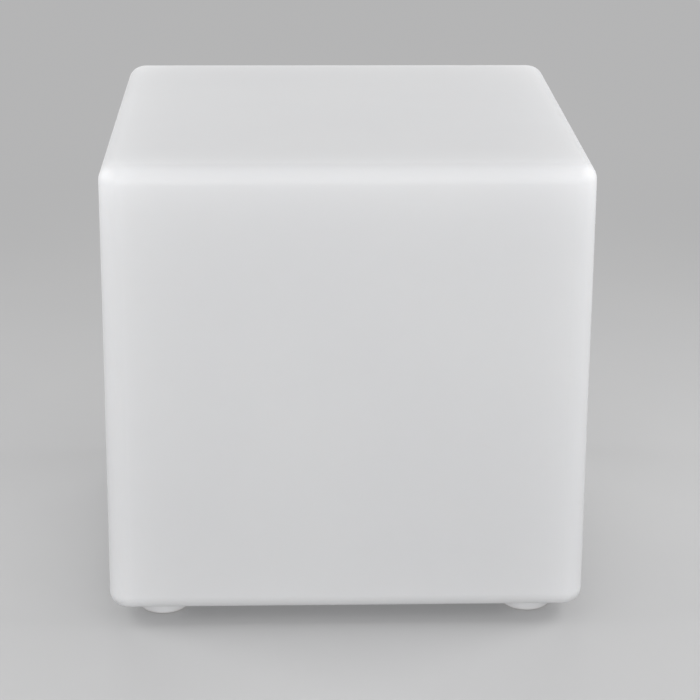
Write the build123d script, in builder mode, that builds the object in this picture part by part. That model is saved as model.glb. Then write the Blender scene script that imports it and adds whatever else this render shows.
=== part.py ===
"""LED cube light: a hollow moulded cube on four feet, lit from a sealed module in its underside.

Millimetres, Z up. The origin is on the ground under the middle of the cube and the front is
towards -Y. The underside of the cube has a round recess with a hole in its floor. A round plate
closes the hole from below and carries the whole module: board, battery, lamps and dome.
"""
from build123d import *
import os

os.makedirs("parts", exist_ok=True)

# ---- Cube moulding ----------------------------------------------------------------------------
body_width = 400.0
body_height = 384.0
wall_draft = 0.35
corner_blend = 3.0
top_edge_radius = 14.5
bottom_edge_radius = 12.5
wall = 4.0

foot_height = 14.0
foot_radius = 21.0
foot_flare = 1.5
foot_inset = 44.0
foot_rim_radius = 3.0
foot_hollow_rim_radius = 2.0
foot_root_radius = 3.0

recess_depth = 12.0
recess_draft = 5.0
recess_mouth_radius = 4.0
recess_corner_radius = 2.0
mouth_clearance = 0.8
mouth_to_seal = 5.5
seal_to_bolts = 8.5
bolts_to_rim = 8.0
rim_room = 4.0

bolt_count = 6
insert_radius = 3.2
insert_length = 8.0
insert_band = 3.2
insert_groove_depth = 0.6
insert_boss_wall = 3.3
moulded_fit = 0.02

# ---- Base plate -------------------------------------------------------------------------------
flange_thickness = 5.0
flange_edge_radius = 1.2
dish_depth = 3.0
dish_inset = 5.0
dish_slope = 1.5
plate_thickness = 3.0
spigot_clearance = 0.6
spigot_height = 4.0
seal_groove_width = 3.2
seal_groove_depth = 2.0
seal_side_room = 0.2
seal_corner_width = 0.6

# ---- Screws -----------------------------------------------------------------------------------
m4_radius = 2.0
m4_head_radius = 3.8
m4_head_height = 2.5
m4_length = 10.0
m4_socket_radius = 1.45
m3_radius = 1.5
m3_head_radius = 2.75
m3_head_height = 1.9
m3_socket_radius = 1.15
board_screw_length = 8.0
housing_screw_length = 12.0
strap_screw_length = 9.0
plate_screw_length = 10.0
socket_share = 0.6
screw_hole_room = 0.2
screw_tip_room = 1.0
thread_fit = 0.02
counterbore_room = 0.5
head_below_face = 0.3

# ---- Power button -----------------------------------------------------------------------------
button_x = -22.0
button_radius = 6.0
button_stand_out = 2.0
button_hollow = 0.5
button_edge_radius = 0.7
button_travel = 1.5
button_clearance = 0.3
button_collar_radius = 8.5
button_collar_thickness = 1.2
button_seal_radius = 7.2
button_seal_height = 1.5
button_seal_fit = 0.05
guard_clearance = 1.4
guard_wall = 2.0
guard_height = 1.2
plunger_radius = 1.6
plunger_fit = 0.08
plunger_top_room = 0.5
switch_width = 8.5
switch_height = 5.0
switch_roof = 1.0

# ---- Charging port and its flap ---------------------------------------------------------------
port_x = 22.0
stopper_swing_room = 0.13
jack_width = 9.0
jack_bore_radius = 3.0
jack_roof = 1.0
jack_pin_radius = 1.0
jack_pin_length = 6.0
jack_pin_tip = 0.5
flap_radius = 6.5
flap_thickness = 1.6
flap_edge_radius = 0.5
flap_strap_width = 5.0
flap_strap_thickness = 1.0
flap_tab_reach = 2.5
stopper_radius = 3.2
stopper_length = 2.4
stopper_draft = 6.0
hinge_reach = 9.5
hinge_drop = 0.7
hinge_gap = 0.3
anchor_reach = 5.5
anchor_pad_radius = 2.9
tether_thickness = 1.2
anchor_radius = 1.5
anchor_fit = 0.05
anchor_barb_radius = 2.1
anchor_barb_height = 1.2

# ---- Status light -----------------------------------------------------------------------------
pipe_y = -18.0
pipe_radius = 1.5
pipe_fit = 0.05
pipe_collar_radius = 2.6
pipe_collar_height = 1.0
pipe_stand_out = 0.3
status_led_size = 2.0
status_led_height = 0.8
pipe_air_gap = 0.2

# ---- Module housing ---------------------------------------------------------------------------
housing_side_room = 4.3
housing_wall = 2.0
housing_fit = 0.2
partition_thickness = 2.0
ledge_width = 2.0
heat_plate_fit = 0.1
housing_post_radius = 4.0
housing_post_x = 21.0
housing_post_room = 5.2
plate_column_radius = 3.5
plate_column_x = 9.0
plate_column_room = 10.7
column_rib_thickness = 1.6
strap_post_radius = 4.0
strap_post_room = 2.2
lead_slot_length = 6.0
lead_slot_room = 1.5

# ---- Driver board -----------------------------------------------------------------------------
board_standoff = 9.0
board_edge_room = 3.0
board_thickness = 1.6
board_post_radius = 3.5
board_post_inset = 3.8
board_post_room = 3.5
post_room = 0.6
component_air = 1.4

# ---- Battery ----------------------------------------------------------------------------------
cell_radius = 9.25
cell_length = 65.0
cell_spacing = 0.6
cell_edge_bevel = 0.8
cell_cap_radius = 2.9
cell_cap_height = 0.8
cell_lift = 1.2
saddle_x = 20.0
saddle_thickness = 3.0
saddle_height = 6.5
saddle_overhang = 1.5
saddle_fit = 0.05
tab_thickness = 0.3
tab_height = 8.0
tab_bar_width = 4.0
tab_bar_rise = 6.4
protection_thickness = 1.0
protection_width = 30.0
strap_width = 14.0
strap_thickness = 2.0
strap_air = 0.5
pad_thickness = 1.5
pad_width = 28.0
pad_fit = 0.02

# ---- Lamp -------------------------------------------------------------------------------------
heat_plate_edge_room = 0.2
heat_plate_thickness = 2.0
led_board_room = 1.4
led_board_thickness = 1.6
led_size = 5.0
led_height = 1.5
led_window_radius = 2.0
led_window_depth = 0.3
led_outer_circle = 26.0
led_outer_count = 8
led_inner_circle = 11.5
led_inner_count = 4
receiver_width = 6.0
receiver_depth = 4.4
receiver_height = 6.0
receiver_lens_radius = 1.7
dome_flange_width = 2.6
dome_wall = 2.0
dome_rise = 24.0
dome_flange_thickness = 2.0
dome_seal_thickness = 1.0
ring_wall = 2.2
ring_lip = 1.8
ring_skirt = 10.0
ring_fit = 0.05
ring_chamfer = 0.6

# ---- Connectors and leads ---------------------------------------------------------------------
cell_to_socket = 4.0
socket_depth = 5.8
socket_height = 5.0
socket_wall = 0.8
connector_fit = 0.1
connector_stand_out = 2.0
contact_pitch = 2.5
battery_ways = 2
led_ways = 5
battery_wire_radius = 0.7
led_wire_radius = 0.6
wire_rest_gap = 0.05
battery_lead_start = 1.5
battery_lead_drop = 6.0
led_lead_bend = 6.0
led_lead_flat = 1.8

# ---- Levels, from the ground up ---------------------------------------------------------------
underside_z = foot_height
recess_floor_z = underside_z + recess_depth
flange_z = recess_floor_z - flange_thickness
dish_z = flange_z + dish_depth
plate_top_z = dish_z + plate_thickness
board_z = plate_top_z + board_standoff
board_top_z = board_z + board_thickness
partition_z = board_top_z + socket_height + connector_stand_out + component_air
partition_top_z = partition_z + partition_thickness
cell_z = partition_top_z + cell_lift + cell_radius
strap_z = cell_z + cell_radius + pad_thickness
heat_plate_z = strap_z + strap_thickness + m3_head_height + strap_air
rim_z = heat_plate_z + heat_plate_thickness
led_board_top_z = rim_z + led_board_thickness
dome_flange_z = rim_z + dome_seal_thickness
dome_base_z = dome_flange_z + dome_flange_thickness
dome_top_z = dome_base_z + dome_rise
button_z = dish_z - button_stand_out
hinge_z = dish_z - hinge_drop

# ---- Across the cube and its feet -------------------------------------------------------------
corner_radius = top_edge_radius + corner_blend
foot_spacing = body_width - 2 * foot_inset

# ---- Across the module, from the battery outwards ---------------------------------------------
cell_y = cell_radius + cell_spacing / 2
cell_side_y = cell_y + cell_radius
cell_end_x = cell_length / 2
socket_x = cell_end_x + tab_thickness + cell_to_socket
led_lead_start_x = socket_x - led_lead_bend - led_lead_flat
housing_bore_radius = socket_x + socket_depth / 2 + housing_side_room
housing_radius = housing_bore_radius + housing_wall
board_radius = housing_bore_radius - board_edge_room
heat_plate_radius = housing_bore_radius - heat_plate_edge_room
dome_radius = housing_radius - dome_flange_width
led_board_radius = dome_radius - dome_wall - led_board_room
mouth_radius = housing_radius + ring_wall + mouth_clearance
spigot_radius = mouth_radius - spigot_clearance
dish_radius = mouth_radius - dish_inset
seal_groove_radius = mouth_radius + mouth_to_seal
bolt_circle_radius = seal_groove_radius + seal_to_bolts
flange_radius = bolt_circle_radius + bolts_to_rim
recess_radius = flange_radius + rim_room

# ---- Posts, ports and sockets inside the module -----------------------------------------------
hinge_x = port_x + hinge_reach
anchor_x = hinge_x + anchor_reach
stopper_swing = Vector(hinge_reach + stopper_radius, hinge_drop + stopper_length).length
port_radius = stopper_swing + stopper_swing_room - hinge_reach
battery_socket_width = contact_pitch * battery_ways + 2 * socket_wall
led_socket_width = contact_pitch * led_ways + 2 * socket_wall
strap_post_y = cell_side_y + strap_post_room + strap_post_radius
housing_post_y = cell_side_y + housing_post_room + housing_post_radius
plate_column_y = cell_side_y + plate_column_room + plate_column_radius
board_post_x = socket_x - board_post_inset
board_post_y = led_socket_width / 2 + board_post_room + board_post_radius
bolt_seat_z = flange_z + m4_head_height + head_below_face
bolt_hole_top_z = max(bolt_seat_z + m4_length, recess_floor_z + insert_length) + screw_tip_room


def circles_at(part, level, radius):
    """The full or part circles of one radius that lie at one level."""
    return part.edges().filter_by(
        lambda edge: edge.geom_type == GeomType.CIRCLE
        and abs(edge.center().Z - level) < 0.01
        and abs(edge.radius - radius) < 0.01
    )


def cube_form(inset):
    """The cube without feet or recess: drafted walls and rounded edges, set in all round."""
    width = body_width - 2 * inset
    with BuildPart() as form:
        with BuildSketch(Plane.XY.offset(underside_z + inset)):
            RectangleRounded(width, width, corner_radius - inset)
        extrude(amount=body_height - 2 * inset, taper=wall_draft)
        fillet(form.faces().sort_by(Axis.Z)[-1].edges(), top_edge_radius - inset)
        fillet(form.faces().sort_by(Axis.Z)[0].edges(), bottom_edge_radius - inset)
    return form.part


def foot_form(inset, rim_radius, root_level):
    """One foot on the Z axis up to a level in the underside, set in all round."""
    root_radius = foot_radius + foot_flare - inset
    with BuildPart() as form:
        with BuildSketch(Plane.XZ):
            with BuildLine():
                Polyline(
                    (0, inset),
                    (foot_radius - inset, inset),
                    (root_radius, foot_height),
                    (root_radius, root_level),
                    (0, root_level),
                    close=True,
                )
            make_face()
        revolve(axis=Axis.Z)
        rim = form.edges().filter_by(GeomType.CIRCLE).sort_by(Axis.Z)[0]
        fillet(rim, rim_radius)
    return form.part


def cap_screw(radius, head_radius, head_height, socket_radius, length):
    """A socket screw that points up the Z axis, with the underside of its head at level 0."""
    with BuildPart() as screw:
        with BuildSketch(Plane.XY.offset(-head_height)):
            Circle(head_radius)
        extrude(amount=head_height)
        rim = screw.edges().filter_by(GeomType.CIRCLE).sort_by(Axis.Z)[0]
        chamfer(rim, head_height / 5)
        with BuildSketch(Plane.XY):
            Circle(radius)
        extrude(amount=length)
        chamfer(screw.faces().sort_by(Axis.Z)[-1].edges(), radius / 4)
        with BuildSketch(Plane.XY.offset(-head_height)):
            RegularPolygon(socket_radius, 6)
        extrude(amount=head_height * socket_share, mode=Mode.SUBTRACT)
    return screw.part


def m3_screw(length):
    """The small screw that holds everything inside the module."""
    return cap_screw(m3_radius - thread_fit, m3_head_radius, m3_head_height, m3_socket_radius, length)


def four_corners(x, y):
    """The four places at plus and minus x and y."""
    return [(x, y), (-x, y), (x, -y), (-x, -y)]


housing_post_places = four_corners(housing_post_x, housing_post_y)
plate_column_places = four_corners(plate_column_x, plate_column_y)
board_post_places = four_corners(board_post_x, board_post_y)


def at_places(places, level, flip=False):
    """Locations at one level, with Z pointing down where the piece is flipped."""
    turn = (180, 0, 0) if flip else (0, 0, 0)
    return Locations(*[Location((x, y, level), turn) for x, y in places])


def socket_shell(width):
    """An open-topped board socket standing on the board at the origin."""
    with BuildPart() as shell_form:
        with BuildSketch():
            Rectangle(socket_depth, width)
        extrude(amount=socket_height)
        with BuildSketch(Plane.XY.offset(socket_wall)):
            Rectangle(socket_depth - 2 * socket_wall, width - 2 * socket_wall)
        extrude(amount=socket_height, mode=Mode.SUBTRACT)
    return shell_form.part


def connector_block(width):
    """The plug that fills a board socket and stands out above it, with its latch ridge."""
    with BuildPart() as block:
        with BuildSketch(Plane.XY.offset(socket_wall)):
            Rectangle(
                socket_depth - 2 * (socket_wall + connector_fit),
                width - 2 * (socket_wall + connector_fit),
            )
        extrude(amount=socket_height - socket_wall + connector_stand_out)
        chamfer(block.faces().sort_by(Axis.Z)[-1].edges(), 2 * connector_fit)
    return block.part


# ---- Shell: rotationally moulded in one piece, feet and recess included -----------------------
# The hollow follows the outside a wall's thickness in, round the recess and down into the feet.
with BuildPart() as shell_hollow:
    add(cube_form(wall))
    with BuildSketch(Plane.XY.offset(underside_z)):
        Circle(recess_radius + wall)
    extrude(amount=recess_depth + wall, taper=recess_draft, mode=Mode.SUBTRACT)
    with GridLocations(foot_spacing, foot_spacing, 2, 2):
        add(foot_form(wall, foot_hollow_rim_radius, underside_z + 2 * wall))
    with BuildSketch(Plane.XY.offset(recess_floor_z)):
        with PolarLocations(bolt_circle_radius, bolt_count):
            Circle(insert_radius + insert_boss_wall)
    extrude(amount=bolt_hole_top_z - recess_floor_z + wall / 2, mode=Mode.SUBTRACT)

with BuildPart() as shell:
    add(cube_form(0))
    with GridLocations(foot_spacing, foot_spacing, 2, 2):
        add(foot_form(0, foot_rim_radius, underside_z + wall / 2))
    fillet(circles_at(shell, underside_z, foot_radius + foot_flare), foot_root_radius)
    with BuildSketch(Plane.XY.offset(underside_z)):
        Circle(recess_radius)
    extrude(amount=recess_depth, taper=recess_draft, mode=Mode.SUBTRACT)
    fillet(circles_at(shell, underside_z, recess_radius), recess_mouth_radius)
    recess_floor = shell.faces().filter_by(
        lambda face: face.geom_type == GeomType.PLANE and abs(face.center().Z - recess_floor_z) < 0.01
    )
    fillet(recess_floor.edges(), recess_corner_radius)
    add(shell_hollow.part, mode=Mode.SUBTRACT)
    with BuildSketch(Plane.XY.offset(recess_floor_z)):
        Circle(mouth_radius)
        with PolarLocations(bolt_circle_radius, bolt_count):
            Circle(insert_radius + moulded_fit)
    extrude(amount=bolt_hole_top_z - recess_floor_z, mode=Mode.SUBTRACT)
shell.part.label = "shell"
export_step(shell.part, "parts/shell.step")

# Brass bushes with a waist, moulded into the bosses and flush with the recess floor.
with BuildPart() as threaded_inserts:
    with PolarLocations(bolt_circle_radius, bolt_count):
        with Locations((0, 0, recess_floor_z)):
            Cylinder(insert_radius - insert_groove_depth, insert_length,
                     align=(Align.CENTER, Align.CENTER, Align.MIN))
        with Locations((0, 0, recess_floor_z), (0, 0, recess_floor_z + insert_length - insert_band)):
            Cylinder(insert_radius, insert_band, align=(Align.CENTER, Align.CENTER, Align.MIN))
        with Locations((0, 0, recess_floor_z + insert_length)):
            Hole(m4_radius)
threaded_inserts.part.label = "threaded_inserts"
export_step(threaded_inserts.part, "parts/threaded_inserts.step")

# ---- Base plate: moulded disc with a dished middle, posts, button hole and port ---------------
with BuildPart() as base_plate:
    with BuildSketch(Plane.XZ):
        with BuildLine():
            Polyline(
                (0, dish_z),
                (dish_radius, dish_z),
                (dish_radius + dish_slope, flange_z),
                (flange_radius, flange_z),
                (flange_radius, recess_floor_z),
                (spigot_radius, recess_floor_z),
                (spigot_radius, recess_floor_z + spigot_height),
                (housing_radius + housing_fit, recess_floor_z + spigot_height),
                (housing_radius + housing_fit, plate_top_z),
                (0, plate_top_z),
                close=True,
            )
        make_face()
    revolve(axis=Axis.Z)
    fillet(circles_at(base_plate, flange_z, flange_radius), flange_edge_radius)
    fillet(circles_at(base_plate, flange_z, dish_radius + dish_slope), flange_edge_radius / 2)
    # Posts for the board and, taller, for the housing
    with BuildSketch(Plane.XY.offset(plate_top_z)):
        with Locations(*board_post_places):
            Circle(board_post_radius)
    extrude(amount=board_standoff)
    with BuildSketch(Plane.XY.offset(plate_top_z)):
        with Locations(*housing_post_places):
            Circle(housing_post_radius)
    extrude(amount=partition_z - plate_top_z)
    with at_places(board_post_places, board_z):
        Hole(m3_radius, board_screw_length - board_thickness + screw_tip_room)
    with at_places(housing_post_places, partition_z):
        Hole(m3_radius, housing_screw_length - partition_thickness + screw_tip_room)
    # Raised guard round the button
    with BuildSketch(Plane.XY.offset(dish_z - guard_height)):
        with Locations((button_x, 0)):
            Circle(button_radius + guard_clearance + guard_wall)
            Circle(button_radius + guard_clearance, mode=Mode.SUBTRACT)
    extrude(amount=guard_height)
    fillet(circles_at(base_plate, dish_z - guard_height, button_radius + guard_clearance + guard_wall),
           guard_height / 2)
    # Button hole with the pocket for its seal, light pipe hole, charging port and tether hole
    with Locations((button_x, 0, plate_top_z)):
        CounterBoreHole(button_radius + button_clearance, button_seal_radius + button_seal_fit,
                        button_seal_height)
    with Locations((0, pipe_y, plate_top_z)):
        Hole(pipe_radius + pipe_fit)
    with Locations((port_x, 0, plate_top_z)):
        Hole(port_radius)
    with Locations((anchor_x, 0, plate_top_z)):
        Hole(anchor_radius + anchor_fit)
    # Counterbored screw holes, from below
    with Locations(Location((0, 0, flange_z), (180, 0, 0))):
        with PolarLocations(bolt_circle_radius, bolt_count):
            CounterBoreHole(m4_radius + screw_hole_room, m4_head_radius + counterbore_room,
                            m4_head_height + head_below_face)
    # Groove for the seal
    with BuildSketch(Plane.XZ):
        with Locations((seal_groove_radius, recess_floor_z)):
            Rectangle(seal_groove_width, 2 * seal_groove_depth)
    revolve(axis=Axis.Z, mode=Mode.SUBTRACT)
base_plate.part.label = "base_plate"
export_step(base_plate.part, "parts/base_plate.step")

# Rubber ring, squashed between groove and recess floor.
with BuildPart() as flange_seal:
    with BuildSketch(Plane.XZ):
        with Locations((seal_groove_radius, recess_floor_z - seal_groove_depth / 2)):
            Rectangle(seal_groove_width - 2 * seal_side_room, seal_groove_depth)
        chamfer(vertices(), seal_corner_width)
    revolve(axis=Axis.Z)
flange_seal.part.label = "flange_seal"
export_step(flange_seal.part, "parts/flange_seal.step")

# Stainless screws, heads sunk into the flange, threads in the inserts.
flange_screw = cap_screw(m4_radius - thread_fit, m4_head_radius, m4_head_height, m4_socket_radius,
                         m4_length)
with BuildPart() as flange_screws:
    with PolarLocations(bolt_circle_radius, bolt_count):
        with Locations((0, 0, bolt_seat_z)):
            add(flange_screw)
flange_screws.part.label = "flange_screws"
export_step(flange_screws.part, "parts/flange_screws.step")

# ---- Power button: pushed up from below against the switch under the board --------------------
with BuildPart() as power_button:
    with BuildSketch(Plane.XY.offset(button_z)):
        with Locations((button_x, 0)):
            Circle(button_radius)
    extrude(amount=plate_top_z - button_z)
    fillet(circles_at(power_button, button_z, button_radius), button_edge_radius)
    with BuildSketch(Plane.XY.offset(plate_top_z)):
        with Locations((button_x, 0)):
            Circle(button_collar_radius)
    extrude(amount=button_collar_thickness)
    # Shallow finger hollow in the face
    finger_radius = (button_radius / 1.5) ** 2 / (2 * button_hollow)
    with Locations((button_x, 0, button_z + button_hollow - finger_radius)):
        Sphere(finger_radius, mode=Mode.SUBTRACT)
power_button.part.label = "power_button"
export_step(power_button.part, "parts/power_button.step")

with BuildPart() as button_seal:
    with BuildSketch(Plane.XY.offset(plate_top_z - button_seal_height)):
        with Locations((button_x, 0)):
            Circle(button_seal_radius)
            Circle(button_radius + button_seal_fit, mode=Mode.SUBTRACT)
    extrude(amount=button_seal_height - button_seal_fit)
button_seal.part.label = "button_seal"
export_step(button_seal.part, "parts/button_seal.step")

with BuildPart() as switch_body:
    with BuildSketch(Plane.XY.offset(board_z - switch_height)):
        with Locations((button_x, 0)):
            Rectangle(switch_width, switch_width)
    extrude(amount=switch_height)
    chamfer(switch_body.edges().filter_by(Axis.Z), switch_roof / 2)
    with BuildSketch(Plane.XY.offset(board_z - switch_height)):
        with Locations((button_x, 0)):
            Circle(plunger_radius + plunger_fit)
    extrude(amount=switch_height - switch_roof, mode=Mode.SUBTRACT)
switch_body.part.label = "switch_body"
export_step(switch_body.part, "parts/switch_body.step")

# The plunger stands on the button's collar and stops short of the switch's roof by the travel.
plunger_foot_z = plate_top_z + button_collar_thickness
plunger_top_z = board_z - switch_roof - button_travel - plunger_top_room
with BuildPart() as switch_plunger:
    with BuildSketch(Plane.XY.offset(plunger_foot_z)):
        with Locations((button_x, 0)):
            Circle(plunger_radius)
    extrude(amount=plunger_top_z - plunger_foot_z)
switch_plunger.part.label = "switch_plunger"
export_step(switch_plunger.part, "parts/switch_plunger.step")

# ---- Charging port: barrel socket over the hole, silicone flap below it -----------------------
with BuildPart() as charge_jack:
    with BuildSketch(Plane.XY.offset(plate_top_z)):
        with Locations((port_x, 0)):
            Rectangle(jack_width, jack_width)
            Circle(jack_bore_radius, mode=Mode.SUBTRACT)
    extrude(amount=board_standoff)
    chamfer(charge_jack.edges().filter_by(Axis.Z).filter_by(GeomType.LINE).group_by(Axis.X)[-1],
            jack_roof)
    with BuildSketch(Plane.XY.offset(board_z - jack_roof)):
        with Locations((port_x, 0)):
            Circle(jack_bore_radius + jack_roof / 2)
    extrude(amount=jack_roof)
charge_jack.part.label = "charge_jack"
export_step(charge_jack.part, "parts/charge_jack.step")

with BuildPart() as charge_jack_pin:
    with BuildSketch(Plane.XY.offset(board_z - jack_roof - jack_pin_length)):
        with Locations((port_x, 0)):
            Circle(jack_pin_radius)
    extrude(amount=jack_pin_length)
    tip = charge_jack_pin.edges().filter_by(GeomType.CIRCLE).sort_by(Axis.Z)[0]
    fillet(tip, jack_pin_tip)
charge_jack_pin.part.label = "charge_jack_pin"
export_step(charge_jack_pin.part, "parts/charge_jack_pin.step")

# Flap with its stopper, pull tab and the moving half of its living hinge.
with BuildPart() as charge_port_flap:
    with BuildSketch(Plane.XY.offset(dish_z - flap_thickness)):
        with Locations((port_x, 0)):
            Circle(flap_radius)
        with Locations((port_x - flap_radius, 0)):
            SlotOverall(2 * flap_tab_reach + flap_strap_width, flap_strap_width)
    extrude(amount=flap_thickness)
    fillet(charge_port_flap.faces().sort_by(Axis.Z)[0].edges(), flap_edge_radius)
    with BuildSketch(Plane.XY.offset(dish_z)):
        with Locations((port_x, 0)):
            Circle(stopper_radius)
    extrude(amount=stopper_length, taper=stopper_draft)
    with BuildSketch(Plane.XZ):
        with Locations(((port_x + hinge_x) / 2, hinge_z)):
            Rectangle(hinge_x - port_x, flap_strap_thickness)
        with Locations((hinge_x, hinge_z)):
            Circle(flap_strap_thickness / 2)
    extrude(amount=flap_strap_width / 2, both=True)
charge_port_flap.part.label = "charge_port_flap"
export_step(charge_port_flap.part, "parts/charge_port_flap.step")

# The fixed half: strap, anchor pad, and a barbed stem pushed through the plate.
tether_start_x = hinge_x + flap_strap_thickness / 2 + hinge_gap
with BuildPart() as flap_tether:
    with BuildSketch(Plane.XY.offset(dish_z - tether_thickness)):
        with Locations(((tether_start_x + anchor_x) / 2, 0)):
            Rectangle(anchor_x - tether_start_x, flap_strap_width)
        with Locations((anchor_x, 0)):
            Circle(anchor_pad_radius)
    extrude(amount=tether_thickness)
    with BuildSketch(Plane.XY.offset(dish_z)):
        with Locations((anchor_x, 0)):
            Circle(anchor_radius)
    extrude(amount=plate_thickness)
    with BuildSketch(Plane.XY.offset(plate_top_z)):
        with Locations((anchor_x, 0)):
            Circle(anchor_barb_radius)
    extrude(amount=anchor_barb_height, taper=20)
flap_tether.part.label = "flap_tether"
export_step(flap_tether.part, "parts/flap_tether.step")

# ---- Status light: a lamp under the board and a clear pipe down through the plate -------------
with BuildPart() as status_led:
    with BuildSketch(Plane.XY.offset(board_z - status_led_height)):
        with Locations((0, pipe_y)):
            Rectangle(status_led_size, status_led_size / 1.6)
    extrude(amount=status_led_height)
status_led.part.label = "status_led"
export_step(status_led.part, "parts/status_led.step")

pipe_top_z = board_z - status_led_height - pipe_air_gap
with BuildPart() as status_light_pipe:
    with BuildSketch(Plane.XY.offset(dish_z - pipe_stand_out)):
        with Locations((0, pipe_y)):
            Circle(pipe_radius)
    extrude(amount=pipe_top_z - dish_z + pipe_stand_out)
    fillet(circles_at(status_light_pipe, dish_z - pipe_stand_out, pipe_radius), pipe_stand_out)
    with BuildSketch(Plane.XY.offset(plate_top_z)):
        with Locations((0, pipe_y)):
            Circle(pipe_collar_radius)
    extrude(amount=pipe_collar_height)
status_light_pipe.part.label = "status_light_pipe"
export_step(status_light_pipe.part, "parts/status_light_pipe.step")

# ---- Driver board and what is soldered to it --------------------------------------------------
with BuildPart() as driver_board:
    with BuildSketch(Plane.XY.offset(board_z)):
        Circle(board_radius)
        with Locations(*housing_post_places):
            Circle(housing_post_radius + post_room, mode=Mode.SUBTRACT)
        with Locations(*board_post_places):
            Circle(m3_radius + screw_hole_room, mode=Mode.SUBTRACT)
    extrude(amount=board_thickness)
driver_board.part.label = "driver_board"
export_step(driver_board.part, "parts/driver_board.step")

board_screw = m3_screw(board_screw_length)
with BuildPart() as board_screws:
    with at_places(board_post_places, board_top_z, flip=True):
        add(board_screw)
board_screws.part.label = "board_screws"
export_step(board_screws.part, "parts/board_screws.step")

# Control chip: body with a row of bent legs on each side
chip_length = 9.9
chip_width = 3.9
chip_height = 1.5
chip_leg_reach = 6.0
chip_leg_count = 8
chip_leg_pitch = 1.27
chip_leg_width = 0.5
chip_leg_height = 0.7
chip_y = -8.0
with BuildPart() as control_chip:
    with BuildSketch(Plane.XY.offset(board_top_z)):
        with Locations((0, chip_y)):
            Rectangle(chip_length, chip_width)
    extrude(amount=chip_height)
    chamfer(control_chip.faces().sort_by(Axis.Z)[-1].edges(), chip_height / 5)
    with BuildSketch(Plane.XY.offset(board_top_z)):
        with Locations((0, chip_y)):
            with GridLocations(chip_leg_pitch, 1, chip_leg_count, 1):
                Rectangle(chip_leg_width, chip_leg_reach)
    extrude(amount=chip_leg_height)
control_chip.part.label = "control_chip"
export_step(control_chip.part, "parts/control_chip.step")

# One power chip for each string of lamps
power_chip_size = 4.0
power_chip_height = 0.9
power_chip_pitch = 8.0
power_chip_x = 18.0
with BuildPart() as led_driver_chips:
    with BuildSketch(Plane.XY.offset(board_top_z)):
        with Locations((power_chip_x, 0)):
            with GridLocations(1, power_chip_pitch, 1, 3):
                Rectangle(power_chip_size, power_chip_size)
    extrude(amount=power_chip_height)
led_driver_chips.part.label = "led_driver_chips"
export_step(led_driver_chips.part, "parts/led_driver_chips.step")

# Shielded power inductor: square frame, round core
inductor_size = 7.3
inductor_height = 4.0
inductor_core_radius = 3.2
inductor_gap = 0.4
inductor_y = 12.0
with BuildPart() as power_inductor:
    with BuildSketch(Plane.XY.offset(board_top_z)):
        with Locations((0, inductor_y)):
            RectangleRounded(inductor_size, inductor_size, inductor_size / 5)
    extrude(amount=inductor_height)
    with BuildSketch(Plane.XY.offset(board_top_z + inductor_height)):
        with Locations((0, inductor_y)):
            Circle(inductor_core_radius)
            Circle(inductor_core_radius - inductor_gap, mode=Mode.SUBTRACT)
    extrude(amount=-inductor_gap, mode=Mode.SUBTRACT)
power_inductor.part.label = "power_inductor"
export_step(power_inductor.part, "parts/power_inductor.step")

# Filter capacitor: can on a square plastic foot
capacitor_radius = 3.15
capacitor_height = 5.4
capacitor_foot = 1.0
capacitor_x = -12.0
with BuildPart() as filter_capacitor:
    with BuildSketch(Plane.XY.offset(board_top_z)):
        with Locations((capacitor_x, 0)):
            Rectangle(2 * capacitor_radius, 2 * capacitor_radius)
    extrude(amount=capacitor_foot)
    with BuildSketch(Plane.XY.offset(board_top_z + capacitor_foot)):
        with Locations((capacitor_x, 0)):
            Circle(capacitor_radius)
    extrude(amount=capacitor_height - capacitor_foot)
    fillet(filter_capacitor.faces().sort_by(Axis.Z)[-1].edges(), capacitor_foot / 2)
filter_capacitor.part.label = "filter_capacitor"
export_step(filter_capacitor.part, "parts/filter_capacitor.step")

battery_socket_form = socket_shell(battery_socket_width)
with BuildPart() as battery_socket:
    with Locations((-socket_x, 0, board_top_z)):
        add(battery_socket_form)
battery_socket.part.label = "battery_socket"
export_step(battery_socket.part, "parts/battery_socket.step")

battery_plug_form = connector_block(battery_socket_width)
with BuildPart() as battery_connector:
    with Locations((-socket_x, 0, board_top_z)):
        add(battery_plug_form)
battery_connector.part.label = "battery_connector"
export_step(battery_connector.part, "parts/battery_connector.step")

led_socket_form = socket_shell(led_socket_width)
with BuildPart() as led_socket:
    with Locations((socket_x, 0, board_top_z)):
        add(led_socket_form)
led_socket.part.label = "led_socket"
export_step(led_socket.part, "parts/led_socket.step")

led_plug_form = connector_block(led_socket_width)
with BuildPart() as led_connector:
    with Locations((socket_x, 0, board_top_z)):
        add(led_plug_form)
led_connector.part.label = "led_connector"
export_step(led_connector.part, "parts/led_connector.step")

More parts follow.
